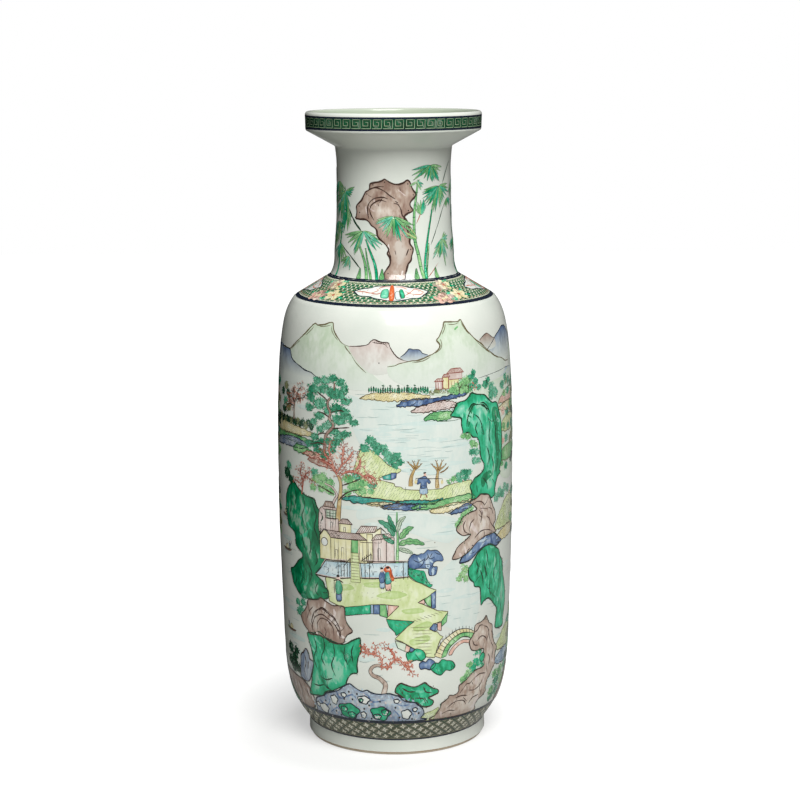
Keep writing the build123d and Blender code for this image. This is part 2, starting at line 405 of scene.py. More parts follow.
def drawn(places, closed=False, sharp=False, step=0.8):
    """A hand-drawn path through the places: round, or straight from corner to corner where sharp."""
    places = marks(places)
    if not sharp:
        return through(places, step, closed)
    stops = np.vstack([places, places[:1]]) if closed else places
    return np.vstack([spaced([a, b], step)[:-1] for a, b in zip(stops, stops[1:])] + [stops[-1:]])


def inside_of(outline, places):
    """Which places lie inside a closed outline: their rays to the right cross it an odd number of times."""
    ax, az = outline.T
    bx, bz = np.roll(outline, -1, axis=0).T
    x, z = places[:, 0, None], places[:, 1, None]
    rise = np.where(bz == az, 1e-9, bz - az)
    crossed = ((az > z) != (bz > z)) & (x < (bx - ax) * (z - az) / rise + ax)
    return crossed.sum(axis=1) % 2 == 1


def sprinkled(outline, gap, seed=0, shake=0.0):
    """Places on a triangular grid inside an outline, shaken off it by up to shake of the gap."""
    low, high = outline.min(axis=0), outline.max(axis=0)
    columns, rows = np.ceil((high - low) / (gap, gap * 0.87)).astype(int) + 1
    row, column = np.divmod(np.arange(rows * columns), columns)
    places = low + np.column_stack([(column + 0.5 * (row % 2)) * gap, row * gap * 0.87])
    places += dice(*low, seed).uniform(-shake, shake, places.shape) * gap
    return places[inside_of(outline, places)]


# %% The three gestures
deepest = 7.0


def wash(enamel, outline, layer, fade=None, sharp=False, grain=2.3, strength=1.0):
    """A flooded area: a triangle mesh between the outline and a grid of places inside it. fade gives two
    heights between which the colour thins out from full to nothing."""
    rim_line = drawn(outline, closed=True, sharp=sharp)[:-1]
    middle = sprinkled(rim_line, grain)
    gap = np.array([])
    if len(middle):
        gap = np.sqrt(((middle[:, None] - rim_line[None]) ** 2).sum(axis=2).min(axis=1))
        middle, gap = middle[gap > 0.4 * grain], gap[gap > 0.4 * grain]
    places = [Vector(p) for p in np.vstack([rim_line, middle]).tolist()]
    count = len(rim_line)
    loop = [(k, (k + 1) % count) for k in range(count)]
    found, _, faces, origins, _, _ = delaunay_2d_cdt(places, loop, [], 1, 1e-4)
    flat = np.array([tuple(p) for p in found])
    if len(gap):
        gap = gap / max(min(gap.max(), deepest), 0.5)
    known = np.concatenate([np.zeros(count), gap]).clip(0, 1)
    edge = np.array([known[o[0]] if o else 0.0 for o in origins])
    if not faces:
        return
    if fade:
        strength = strength * np.clip((flat[:, 1] - fade[1]) / (fade[0] - fade[1]), 0, 1)
    lay(enamel, flat, faces, layer, strength, edge)


def line(ink, path, width, layer, closed=False, sharp=False, ends=0.35, seed=0):
    """A brush line: a ribbon along the path, as wide as the brush was pressed, and thinner at its ends."""
    middle = drawn(path, closed, sharp, step=0.7)
    if len(middle) < 2:
        return
    along = np.linspace(0, 1, len(middle))
    ahead = np.gradient(middle, axis=0)
    if closed:
        ahead[0] = ahead[-1] = middle[1] - middle[-2]
    ahead /= np.maximum(np.hypot(*ahead.T), 1e-9)[:, None]
    beat = along * len(middle)
    press = 1 + 0.22 * np.sin(beat * 0.23 + seed) + 0.12 * np.sin(beat * 0.61 + 2 * seed)
    if not closed:
        press *= ends + (1 - ends) * np.clip(np.sin(np.pi * along) * 1.8, 0, 1)
    aside = np.column_stack([-ahead[:, 1], ahead[:, 0]]) * (press * width / 2)[:, None]
    k = np.arange(len(middle) - 1)
    left, right = 2 * k, 2 * k + 1
    faces = np.vstack([np.column_stack([right, right + 2, left]),
                       np.column_stack([right + 2, left + 2, left])])
    lay(ink, np.stack([middle + aside, middle - aside], axis=1).reshape(-1, 2), faces, layer)


def lines(ink, paths, width, layer, **how):
    """Several brush lines of one ink, each pressed in its own way."""
    for k, path in enumerate(paths):
        line(ink, path, width, layer, seed=k, **how)


dab_shapes = {"dot": [(0.5 * np.cos(a), 0.5 * np.sin(a)) for a in np.linspace(0, 2 * np.pi, 8)[:-1]],
              "leaf": [(-0.5, 0), (-0.2, -0.42), (0.15, -0.4), (0.5, 0), (0.15, 0.4), (-0.2, 0.42)],
              "lance": [(x, -side * np.sin(np.pi * x**0.8) ** 0.8 / 2) for side in (1, -1)
                        for x in np.linspace(0, 1, 12)[::side]]}


def dabs(enamel, places, angle, length, width, layer, shape="leaf"):
    """Many touches of the brush at once: the shape, as long and wide as given, turned to each angle."""
    places = marks(places).reshape(-1, 2)
    if not len(places):
        return
    n = len(places)
    angle, length, width = (np.broadcast_to(np.asarray(v, float), n)[:, None] for v in (angle, length, width))
    x, y = np.array(dab_shapes[shape]).T
    x, y = x[None] * length, y[None] * width
    flat = np.stack([x * np.cos(angle) - y * np.sin(angle), x * np.sin(angle) + y * np.cos(angle)], axis=-1)
    flat = (flat + places[:, None]).reshape(-1, 2)
    corners = len(dab_shapes[shape])
    low = np.arange(corners // 2)
    zigzag = np.vstack([np.column_stack([low, low + 1, corners - 1 - low]),
                        np.column_stack([low + 1, corners - 2 - low, corners - 1 - low])])
    zigzag = zigzag[(np.diff(np.sort(zigzag), axis=1) > 0).all(axis=1)]
    lay(enamel, flat, (zigzag[None] + corners * np.arange(n)[:, None, None]).reshape(-1, 3), layer)


def form(enamel, outline, layer, ink, width, sharp=False):
    """A washed area with its drawn outline, a little above the wash."""
    wash(enamel, outline, layer, sharp=sharp)
    line(ink, outline, width, layer + 0.5, closed=True, sharp=sharp)


def placed(draw, u=0.0, z=0.0, size=1.0, mirror=1, around=None, rise=1.0, over=0.0, **how):
    """Draws a motif somewhere else on the wall, larger or smaller, and turned left to right if mirror is -1.
    On a slope, rise is the height gained per millimetre along it; over lifts it above others, in layers."""
    before = dict(sheet)
    sheet.update(u=before["u"] + before["mirror"] * before["size"] * u,
                 z=before["z"] + before["size"] * before["rise"] * z, size=before["size"] * size,
                 mirror=before["mirror"] * mirror, around=around or before["around"],
                 rise=before["rise"] * rise, over=before["over"] + over)
    draw(**how)
    sheet.update(before)

# %% [markdown]
# ## The enamels
# Famille verte enamels are lead glasses: copper gives the greens, manganese the aubergine, cobalt the
# blue and antimony the yellow. They lie on the glaze thick enough to feel, are glossy, gather darker
# along their edges, and let the white through where the brush left them thin. Coral is different: iron
# oxide in hardly any glass, thin and flat. The outlines are a brown-black manganese colour, drawn first.

# %% Colours of the enamels: deep where the glass gathers, light where it is thin, and its roughness
glaze_white = "#DDE4DB"
palette = {
    "wall_yellow": ("#DDD79E", "#EDEAC6", 0.16),
    "tan": ("#B89B62", "#D9C799", 0.16),
    "crackle_blue": ("#A8CBD6", "#D2E4E6", 0.12),
    "roof": ("#C9B3A8", "#E2D4CB", 0.16),
    "emerald": ("#09915F", "#3CC897", 0.12),
    # A darker emerald: dark patches on the rocks, and painted shade as the whole wash of the left cliff.
    "emerald_deep_and_shade": ("#046B42", "#1C9C69", 0.12),
    "emerald_light": ("#3DB78B", "#82D8B7", 0.12),
    "tree_green": ("#248C65", "#6EBE9B", 0.14),
    "apple_green": ("#62AF6C", "#A0D394", 0.14),
    "pale_green": ("#C9DABF", "#DAE6D2", 0.14),
    "meadow": ("#CCDB9B", "#E3ECC0", 0.14),
    "grass": ("#B4CE80", "#CDE0A2", 0.14),
    "yellow": ("#DDD09A", "#EDE8C8", 0.14),
    "aubergine": ("#93786A", "#BBA798", 0.13),
    "rock_brown": ("#AC9484", "#D6C8BA", 0.13),
    "pale_aubergine": ("#CDB9B0", "#E2D6CF", 0.14),
    "blue": ("#33507F", "#7C96B8", 0.12),
    "light_blue": ("#86A3BD", "#BCD0DC", 0.13),
    "rock_grey": ("#8090A8", "#BAC4CC", 0.13),
    "lake_blue": ("#C9E0DB", "#DEEBE4", 0.14),
    "coral": ("#B3563F", "#CC7C62", 0.3),
    "orange": ("#C9501F", "#DB7036", 0.25),
    "salmon": ("#C27260", "#DB9F8B", 0.3),
    "blossom": ("#DDAE9B", "#ECCFC0", 0.3),
    "turquoise": ("#1E8F83", "#58B3A4", 0.12),
    "dark_green": ("#173F2A", "#2C6244", 0.16),
    "olive": ("#7A8256", "#A0A67C", 0.2),
    "cream": ("#DDD9C2", "#EDEAD8", 0.16),
    "white": ("#DCE3DC", "#EEF1EA", 0.12),
    "shoulder_ground": ("#8F9A76", "#B7BD9C", 0.16),
    "lip_ground": ("#10341F", "#22623F", 0.12),
    "foot_ground": ("#62614A", "#807F68", 0.16),
}
band_nodes = {
    "shoulder_ground": ("shoulder_enamel_band", "trellis_enamel"),
    "lip_ground": ("lip_enamel_band", "fret_enamel"),
    "foot_ground": ("foot_enamel_band", "trellis_enamel"),
}
inks = {
    "ink": ("#241E1C", 0.35),
    "brown_ink": ("#3F2920", 0.35),
    "olive_ink": ("#6B6144", 0.35),
    "green_ink": ("#14502F", 0.3),
    "coral_ink": ("#A9563F", 0.4),
    "blue_black": ("#1D2535", 0.25),
    "emerald_line": ("#256B48", 0.15),
    "fret_black": ("#0E1F17", 0.2),
    "cream_dot": ("#8AA583", 0.2),
    "trellis_green": ("#3C5440", 0.2),
    "water_ink": ("#A3B8B3", 0.4),
    "tan_ink": ("#7A5A2C", 0.35),
    "rose_ink": ("#8E4A3C", 0.35),
    "dark_green_ink": ("#123B22", 0.3),
}


def enamel_material(name, deep, light, roughness):
    """Coloured lead glass: a glossy coat whose colour drifts with its thickness. Noise of 12 mm, drawn out
    downwards, is the flooding of the wash, noise of 2.5 mm the brush, and towards its outline the glass has
    gathered, so that the middle is light and the edge deep. Where it is thinnest the white glints through."""
    material, tree, shader = glass_coat(name + "_enamel", roughness, 1.55)
    place = add(tree, "ShaderNodeTexCoord").outputs["Object"]
    drawn_out = add(tree, "ShaderNodeMapping", Vector=place, Scale=(1.0, 1.0, 0.5)).outputs[0]
    flood = add(tree, "ShaderNodeTexNoise", Vector=drawn_out, Scale=80.0, Detail=3.0,
                Distortion=0.8).outputs["Fac"]
    brush = add(tree, "ShaderNodeTexNoise", Vector=drawn_out, Scale=400.0, Detail=2.0).outputs["Fac"]
    both = add(tree, "ShaderNodeMath", {"operation": "MULTIPLY_ADD"}, n0=brush, n1=0.6, n2=flood)
    thin = add(tree, "ShaderNodeMapRange", Value=both.outputs[0], From_Min=0.62, From_Max=0.98)
    edge = add(tree, "ShaderNodeAttribute", {"attribute_name": "edge"}).outputs["Fac"]
    inner = add(tree, "ShaderNodeMapRange", Value=edge, To_Min=0.3, To_Max=1.15)
    thinness = add(tree, "ShaderNodeMath", {"operation": "MULTIPLY"}, n0=thin.outputs[0], n1=inner.outputs[0])
    tint = add(tree, "ShaderNodeValToRGB", Fac=thinness.outputs[0])
    stops = tint.color_ramp.elements
    stops[0].color, stops[1].color, stops[1].position = linear(deep), linear(light), 0.62
    glint = stops.new(1.0)
    glint.color = tuple(0.68 * a + 0.32 * b for a, b in zip(linear(light), linear("#F4F8F0")))
    strength = add(tree, "ShaderNodeAttribute", {"attribute_name": "strength"}).outputs["Fac"]
    shown = add(tree, "ShaderNodeMix", {"data_type": "RGBA"}, Factor=strength, A=linear(glaze_white))
    tree.links.new(tint.outputs["Color"], shown.inputs["B"])
    tree.links.new(shown.outputs["Result"], shader.inputs["Base Color"])
    return material


def ink_material(name, colour, roughness):
    """A drawn line: manganese or iron colour with little glass in it, so it is half matt and one colour."""
    material, _, shader = glass_coat(name, roughness)
    shader.inputs["Base Color"].default_value = linear(colour)
    return material


def fire_enamels():
    """Makes one object of each colour out of all the coats laid down with it."""
    for name, parts in coats.items():
        starts = np.cumsum([0] + [len(p[0]) for p in parts[:-1]])
        points = np.concatenate([p[0] for p in parts])
        faces = np.concatenate([p[1] + start for p, start in zip(parts, starts)])
        if name in inks:
            piece = new_mesh(name + "_lines", points, [faces])
            piece.data.materials.append(ink_material(name, *inks[name]))
        else:
            values = {"strength": np.concatenate([p[2] for p in parts]),
                      "edge": np.concatenate([p[3] for p in parts])}
            piece = new_mesh(name + "_washes", points, [faces], values)
            piece.data.materials.append(enamel_material(name, *palette[name]))
        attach(piece, "root")
        if name in band_nodes:
            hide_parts(band_nodes[name][0])
        print(f"{piece.name}: {len(parts)} coats, {len(faces)} faces")


# %% The bare clay and the glaze under the foot
def biscuit_material():
    """Unglazed porcelain: the wiped foot ring, matt and cream, with a line of iron red where the glaze
    stops, because iron leaves the glaze there, and grey kiln grit in the bottom of the ring."""
    material, tree, shader = glass_coat("unglazed_porcelain", 0.75, 1.45)
    place = add(tree, "ShaderNodeTexCoord").outputs["Object"]
    height = add(tree, "ShaderNodeSeparateXYZ", Vector=place).outputs["Z"]
    wander = add(tree, "ShaderNodeTexNoise", Vector=place, Scale=60.0, Detail=3.0).outputs["Fac"]
    shaky = add(tree, "ShaderNodeMath", {"operation": "MULTIPLY_ADD"}, n0=wander, n1=-0.0016, n2=height)
    burnt = add(tree, "ShaderNodeMapRange", Value=shaky.outputs[0], From_Min=0.0002, From_Max=0.0016)
    grit = add(tree, "ShaderNodeTexNoise", Vector=place, Scale=900.0, Detail=2.0).outputs["Fac"]
    body_colour = add(tree, "ShaderNodeMix", {"data_type": "RGBA"}, Factor=grit, A=linear("#CDBFA5"),
                      B=linear("#E6DCC8"))
    shown = add(tree, "ShaderNodeMix", {"data_type": "RGBA"}, Factor=burnt.outputs[0], B=linear("#B98B5E"))
    tree.links.new(body_colour.outputs["Result"], shown.inputs["A"])
    tree.links.new(shown.outputs["Result"], shader.inputs["Base Color"])
    return material


biscuit, glaze_below = biscuit_material(), glaze.data.materials[0]
for name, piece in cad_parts.items():
    if name.endswith(("_section", "_seam")) or name == "base_glaze":
        piece.data.materials.clear()
        piece.data.materials.append(glaze_below if name == "base_glaze" else biscuit)
        print("fired", name)

# %% [markdown]
# ## Motifs
# The landscape is built from stock motifs that porcelain painters learned by heart: the rock with its
# creases and moss, the bank, the pine, the blossoming tree, the willow, the plantain, bamboo, the tiled
# house, the little figure. Each is a function here, drawn first with its washes and then with the brush.

# %% Rocks, banks and hills
moss_dot = 0.8
bank_strokes = 4


def creased(outline, count, layer, ink, length=9.0, width=0.4, lean=-1.2, seed=0):
    """Wandering creases inside a rock: strokes that start at random places inside it and run on with a
    direction that slowly turns, and stop at its edge."""
    rim_line = drawn(outline, closed=True)
    starts = sprinkled(rim_line, 3.0, seed, 0.5)
    random = dice(*rim_line[0], seed, 7)
    random.shuffle(starts)
    for k, start in enumerate(starts[:count]):
        steps = max(int(length * random.uniform(0.5, 1.2) / 0.8), 4)
        heading = lean + random.uniform(-0.5, 0.5) + np.cumsum(random.normal(0, 0.16, steps)
            + random.choice([-0.05, 0.05]))
        path = start + np.cumsum(0.8 * np.column_stack([np.cos(heading), np.sin(heading)]), axis=0)
        inside = inside_of(rim_line, path)
        stop = len(path) if inside.all() else int(np.argmin(inside))
        if stop > 3:
            line(ink, path[:stop], width * random.uniform(0.7, 1.3), layer, seed=k)


def moss(outline, layer, share, seed):
    """Clumps of dots along an outline, as moss is dotted on a painted rock."""
    rim_line = drawn(outline, closed=True)
    random = dice(*rim_line[0], seed, 3)
    along = np.arange(len(rim_line))
    chosen = random.random(len(rim_line)) < share * (1 + np.sin(along * 0.17 + seed))
    picks = rim_line[chosen] + random.normal(0, 0.6, (chosen.sum(), 2))
    across = moss_dot * random.uniform(0.6, 1.3, len(picks))
    up = moss_dot * random.uniform(0.6, 1.2, len(picks))
    dabs("dark_green", picks, 0, across, up, layer, "dot")


def rock(enamel, outline, layer, creases=(), count=14, light=None, ink="brown_ink", width=0.95,
         moss_share=0.25, seed=0, lean=-1.2):
    """A rock: its wash, light streaks, drawn creases, wandering ones between them, and moss."""
    form(enamel, outline, layer, ink, width)
    if light:
        creased(outline, count // 2 + 2, layer + 0.3, light, 13.0, 2.0, lean, seed + 50)
    lines(ink, creases, width * 0.9, layer + 0.6)
    creased(outline, count, layer + 0.6, ink, seed=seed, lean=lean)
    if moss_share:
        moss(outline, layer + 0.8, moss_share, seed)


def bank(enamel, outline, layer, ink, width=0.6, seed=0):
    """A low bank of earth: a wash, its rough edge, level strokes, and slanting ones like rough grass."""
    rough = drawn(outline, closed=True, step=1.3)[:-1]
    form(enamel, rough + dice(*rough[0], seed, 5).normal(0, 1, rough.shape) * (0.2, 0.3), layer, ink, width)
    creased(outline, bank_strokes, layer + 0.6, ink, 7.0, 0.3, 0.1, seed)
    hatched(outline, layer + 0.6, ink, 1.7, 1.9, 0.55, 0.26, seed)


def hatched(outline, layer, ink="green_ink", gap=1.6, length=3.0, slant=0.9, width=0.22, seed=0):
    """Short slanting strokes all over an area, for grass on a slope."""
    places = sprinkled(drawn(outline, closed=True), gap, seed, 0.25)
    if len(places):
        random = dice(*places[0], seed)
        dabs(ink, places, slant + random.normal(0, 0.12, len(places)),
             length * random.uniform(0.5, 1.0, len(places)), width, layer, "leaf")


def ticks(ink, path, length, gap, layer, width=0.3, angle=1.57):
    """Short strokes set out evenly along a path, all at one angle: posts, reeds or steps."""
    places = spaced(marks(path), gap)
    dabs(ink, places, angle, length, width, layer)


# %% Trees, leaves and flowers
bamboo_joint = 9.0


def scattered(centre, radii, count, seed=0):
    """Places in an ellipse, thicker in its middle."""
    random = dice(*centre, count, seed)
    turn, out = random.uniform(0, 2 * np.pi, count), random.uniform(0, 1, count) ** 0.6
    within = np.column_stack([np.cos(turn), np.sin(turn)]) * out[:, None] * np.asarray(radii)
    return np.asarray(centre) + within, random


def clump(centre, radii, layer, enamel, dark, leaf, spots="ink"):
    """A clump of foliage: a ragged wash if large, leaves of the same enamel, and dark touches on them."""
    radii = np.broadcast_to(np.asarray(radii, float), 2)
    random = dice(*centre, 11)
    if radii.min() > 1.9:
        turn = np.linspace(0, 2 * np.pi, 17)[:-1]
        ragged = np.column_stack([np.cos(turn), np.sin(turn)]) * radii * random.uniform(0.7, 1.08, (16, 1))
        wash(enamel, ragged + np.asarray(centre), layer, grain=1.8)
    area = radii.prod()
    leaves, random = scattered(centre, radii * 1.2, int(8 + 2.4 * area))
    dabs(enamel, leaves, random.uniform(0, np.pi, len(leaves)), leaf * random.uniform(0.7, 1.3, len(leaves)),
         leaf * 0.6, layer + 0.2)
    for ink, seed, share, size in ((dark, 5, 1.7, 0.75), (spots, 9, 0.8, 0.6)):
        touches, random = scattered(centre, radii * 1.15, int(5 + share * area), seed)
        dabs(ink, touches, random.uniform(0, np.pi, len(touches)),
             leaf * size * random.uniform(0.6, 1.2, len(touches)), leaf * 0.2, layer + 0.5)


def trunk(path, width, layer, enamel="aubergine", ink="brown_ink"):
    """A stem that thins upwards: two edges about a path, washed and outlined."""
    middle = drawn(path, step=1.2)
    ahead = np.gradient(middle, axis=0)
    ahead /= np.maximum(np.hypot(*ahead.T), 1e-9)[:, None]
    half = width / 2 * np.linspace(1, 0.45, len(middle))[:, None]
    aside = np.column_stack([-ahead[:, 1], ahead[:, 0]]) * half
    edge = np.vstack([middle + aside, (middle - aside)[::-1]])
    wash(enamel, edge, layer, grain=max(width * 0.6, 1.0))
    line(ink, middle + aside, 0.35, layer + 0.5)
    line(ink, middle - aside, 0.35, layer + 0.5, seed=2)


def branches(paths, width, layer, ink="brown_ink"):
    """Bare branches, one brush line each."""
    lines(ink, paths, width, layer, ends=0.3)


def twigs(paths, layer, ink, dots, reach, every, seed=0, size=0.8, width=0.26):
    """Twigs and buds along branches: forked strokes to both sides, with a bud at the end of each."""
    for k, path in enumerate(paths):
        middle = drawn(path, step=every)
        random = dice(*middle[0], k, seed)
        n = len(middle)
        ahead = np.gradient(middle, axis=0)
        heading = np.arctan2(ahead[:, 1], ahead[:, 0])
        for side in (-1, 1):
            way = heading + side * random.uniform(0.5, 1.2, n)
            size_of = reach * random.uniform(0.35, 1.0, n)
            tip = middle + np.column_stack([np.cos(way), np.sin(way)]) * size_of[:, None]
            dabs(ink, (middle + tip) / 2, way, size_of * 1.08, width * 1.8, layer)
            for fork in (-0.8, 0.5):
                turned = way + fork + random.uniform(-0.3, 0.3, n)
                small = size_of * random.uniform(0.3, 0.55, n)
                end = tip + np.column_stack([np.cos(turned), np.sin(turned)]) * small[:, None]
                dabs(ink, (tip + end) / 2, turned, small, width * 1.5, layer)
                dabs(dots, end, 0, size, size, layer + 0.3, "dot")


def spray(root, tips, layer, enamels, ink, width=1.6):
    """A spray of bamboo leaves: lances from one place to each tip, those at its sides first and those in
    its middle over them, by turns of several greens, each with a thin dark edge and a rib."""
    root, tips = marks([root])[0], marks(tips)
    middle = tips.mean(axis=0) - root
    lean = np.arctan2(*(tips - root).T) - np.arctan2(*middle)
    tips = tips[np.argsort(-np.abs((lean + np.pi) % (2 * np.pi) - np.pi))]
    for k, tip in enumerate(tips):
        way = tip - root
        angle, reach, over = np.arctan2(way[1], way[0]), np.hypot(*way), layer + 0.25 * k
        broad = np.clip(reach * 0.17, 0.6, width)
        dabs(ink, [root + way * 0.02], angle, reach, broad + 0.45, over - 0.12, "lance")
        dabs(enamels[k % len(enamels)], [root + way * 0.04], angle, reach * 0.93, broad, over, "lance")
        dabs(ink, [root + way * 0.25], angle, reach * 0.6, 0.2, over + 0.12, "lance")


def bamboo(path, width, layer, enamel):
    """A bamboo stalk: a stem with its two edges drawn, and a ring at each joint."""
    trunk(path, width, layer, enamel, "green_ink")
    knots = drawn(path, step=bamboo_joint)
    dabs("green_ink", knots, 0.1, width * 1.25, 0.5, layer + 0.7)


def willow(root, height, layer, seed, lean):
    """A pollard willow in winter: a stout tan trunk, knobs at its head, and a few short twigs."""
    u, z = root
    random = dice(u, z, seed)
    top = np.array([u + lean, z + height * 0.78])
    trunk([(u, z), (u + 0.3 * lean - 0.4, z + height * 0.4), top], 2.9, layer, "tan", "tan_ink")
    for way in (0.5, 1.1, 1.75, 2.4):
        reach = height * random.uniform(0.26, 0.4)
        tip = top + reach * np.array([np.cos(way), np.sin(way)])
        trunk([top - (0, 0.6), (top + tip) / 2 + (0.3, 0), tip], 1.3, layer + 0.3, "tan", "tan_ink")
        line("tan_ink", [tip, tip + (1.6 * np.cos(way + 0.6), 1.9)], 0.35, layer + 0.8)
        line("tan_ink", [tip, tip + (1.6 * np.cos(way - 0.7), 1.7)], 0.35, layer + 0.8)
    bark = np.column_stack([u + 0.3 * lean + random.uniform(-0.8, 0.8, 14),
                            z + random.uniform(0.5, height * 0.75, 14)])
    dabs("tan_ink", bark, random.uniform(0.6, 2.4, 14), 1.4, 0.3, layer + 0.8)


def pine(stem, limbs, clumps, layer):
    """An old pine or fir: flat clumps of needles in tiers that run into each other, and over them the
    crooked stem and its level limbs, with a few clumps in front again."""
    for k, (u, z, across, up) in enumerate(clumps):
        front = k % 4 == 3
        clump((u, z), (across * 1.06, up * 1.12), layer + (1.6 if front else 0), "tree_green", "dark_green",
              1.6)
        needles, random = scattered((u, z), (across * 1.3, up * 1.3), int(6 + 1.6 * across * up), 21)
        dabs("green_ink", needles, random.uniform(0.2, 2.9, len(needles)), 1.9, 0.3,
             layer + (2.2 if front else 0.7))
    trunk(stem, 2.6, layer + 1, "aubergine")
    branches(limbs, 0.8, layer + 1.3)


# %% Buildings, boats and people
def plane(enamel, corners, layer, ink="ink", width=0.4):
    """A straight-sided face of a building with its edges ruled by hand."""
    form(enamel, corners, layer, ink, width, sharp=True)


def tiled(corners, layer, enamel, ink):
    """A roof: a straight-sided face with its tiles drawn from ridge to eaves. Its first two corners are
    the ends of the eaves and its last two the ends of the ridge, from right to left."""
    corners = marks(corners)
    plane(enamel, corners, layer, ink, 0.5)
    count = max(int(abs(corners[1, 0] - corners[0, 0]) / 1.5), 2)
    for t in np.linspace(0, 1, count + 1)[1:-1]:
        low, high = corners[0] + (corners[1] - corners[0]) * t, corners[3] + (corners[2] - corners[3]) * t
        line(ink, [low, high], 0.25, layer + 0.6, sharp=True, ends=0.8)


def figure(u, z, tall, layer, coat, skirt, stride=0.0):
    """A tiny person as painters dot them in: a coat, a skirt, a head with its knot of hair, two feet."""
    h, w = tall, tall * 0.125
    form(skirt, [(u - w * 0.8, z + h * 0.08), (u + w * 0.9, z + h * 0.08), (u + w * 0.6, z + h * 0.5),
                 (u - w * 0.6, z + h * 0.5)], layer, "ink", 0.28)
    form(coat, [(u - w * 0.7, z + h * 0.3), (u + w * 0.8, z + h * 0.34), (u + w * 1.3, z + h * 0.56),
                (u + w * 0.5, z + h * 0.8), (u - w * 0.5, z + h * 0.8), (u - w * 1.1, z + h * 0.58)],
         layer + 0.6, "ink", 0.3)
    line("ink", [(u - w * 0.4 - stride, z), (u - w * 0.3, z + h * 0.1)], 0.5, layer + 0.2)
    line("ink", [(u + w * 0.5 + stride, z), (u + w * 0.3, z + h * 0.1)], 0.5, layer + 0.2)
    dabs("blossom", [(u, z + h * 0.88)], 0, h * 0.17, h * 0.19, layer + 1, "dot")
    dabs("ink", [(u - w * 0.1, z + h * 0.97)], 0.2, h * 0.15, h * 0.1, layer + 1.3, "dot")


def boat(u, z, long, layer, turned=1):
    """A small boat with an awning and a boatman with a pole."""
    w = long / 2 * turned
    form("aubergine", [(u - w, z + 1.4), (u - w * 0.6, z), (u + w * 0.6, z), (u + w, z + 1.8),
                       (u + w * 0.5, z + 1.2), (u - w * 0.5, z + 1.2)], layer, "ink", 0.4)
    form("yellow", [(u - w * 0.35, z + 1.2), (u + w * 0.25, z + 1.2), (u + w * 0.2, z + 3.8),
                    (u - w * 0.05, z + 4.6), (u - w * 0.3, z + 3.8)], layer + 0.4, "ink", 0.35)
    figure(u + w * 0.6, z + 1.0, 6.0, layer + 0.8, "blue", "apple_green")
    line("brown_ink", [(u + w * 0.2, z - 1), (u + w * 0.8, z + 5), (u + w * 1.1, z + 9)], 0.35, layer + 0.9)
    for drop in (0.8, 2.0):
        line("water_ink", [(u - w * 1.2, z - drop), (u, z - drop - 0.4), (u + w * 1.2, z - drop)], 0.3, layer)


def ripples(left, right, low, high, count, layer, seed=0, length=14.0):
    """Water: long faint level strokes, a little curved, with thin pale blue washes between them."""
    random = dice(left, low, seed, 17)
    for k in range(count):
        u, z = random.uniform(left, right), random.uniform(low, high)
        reach = length * random.uniform(0.4, 1.0)
        bow = random.uniform(-0.8, 0.8)
        if k % 3 == 0:
            wash("lake_blue", [(u - reach, z), (u, z + 1.6), (u + reach, z + bow),
                               (u + reach * 0.3, z - 1.4), (u - reach * 0.6, z - 1.0)], layer, strength=0.7)
        else:
            line("water_ink", [(u - reach / 2, z), (u, z + bow), (u + reach / 2, z)], 0.28, layer + 0.3,
                 seed=k)

# %% [markdown]
# ## The landscape
# A traditional lake scene for a cylinder: peaks at the top, open water in the middle, rocks, pines and a
# walled court at its shores, and strange rocks at the foot. Far things are pale and high on the wall,
# near things dark and low. All of it is in millimetres on the painter's sheet, u to the right and z up.

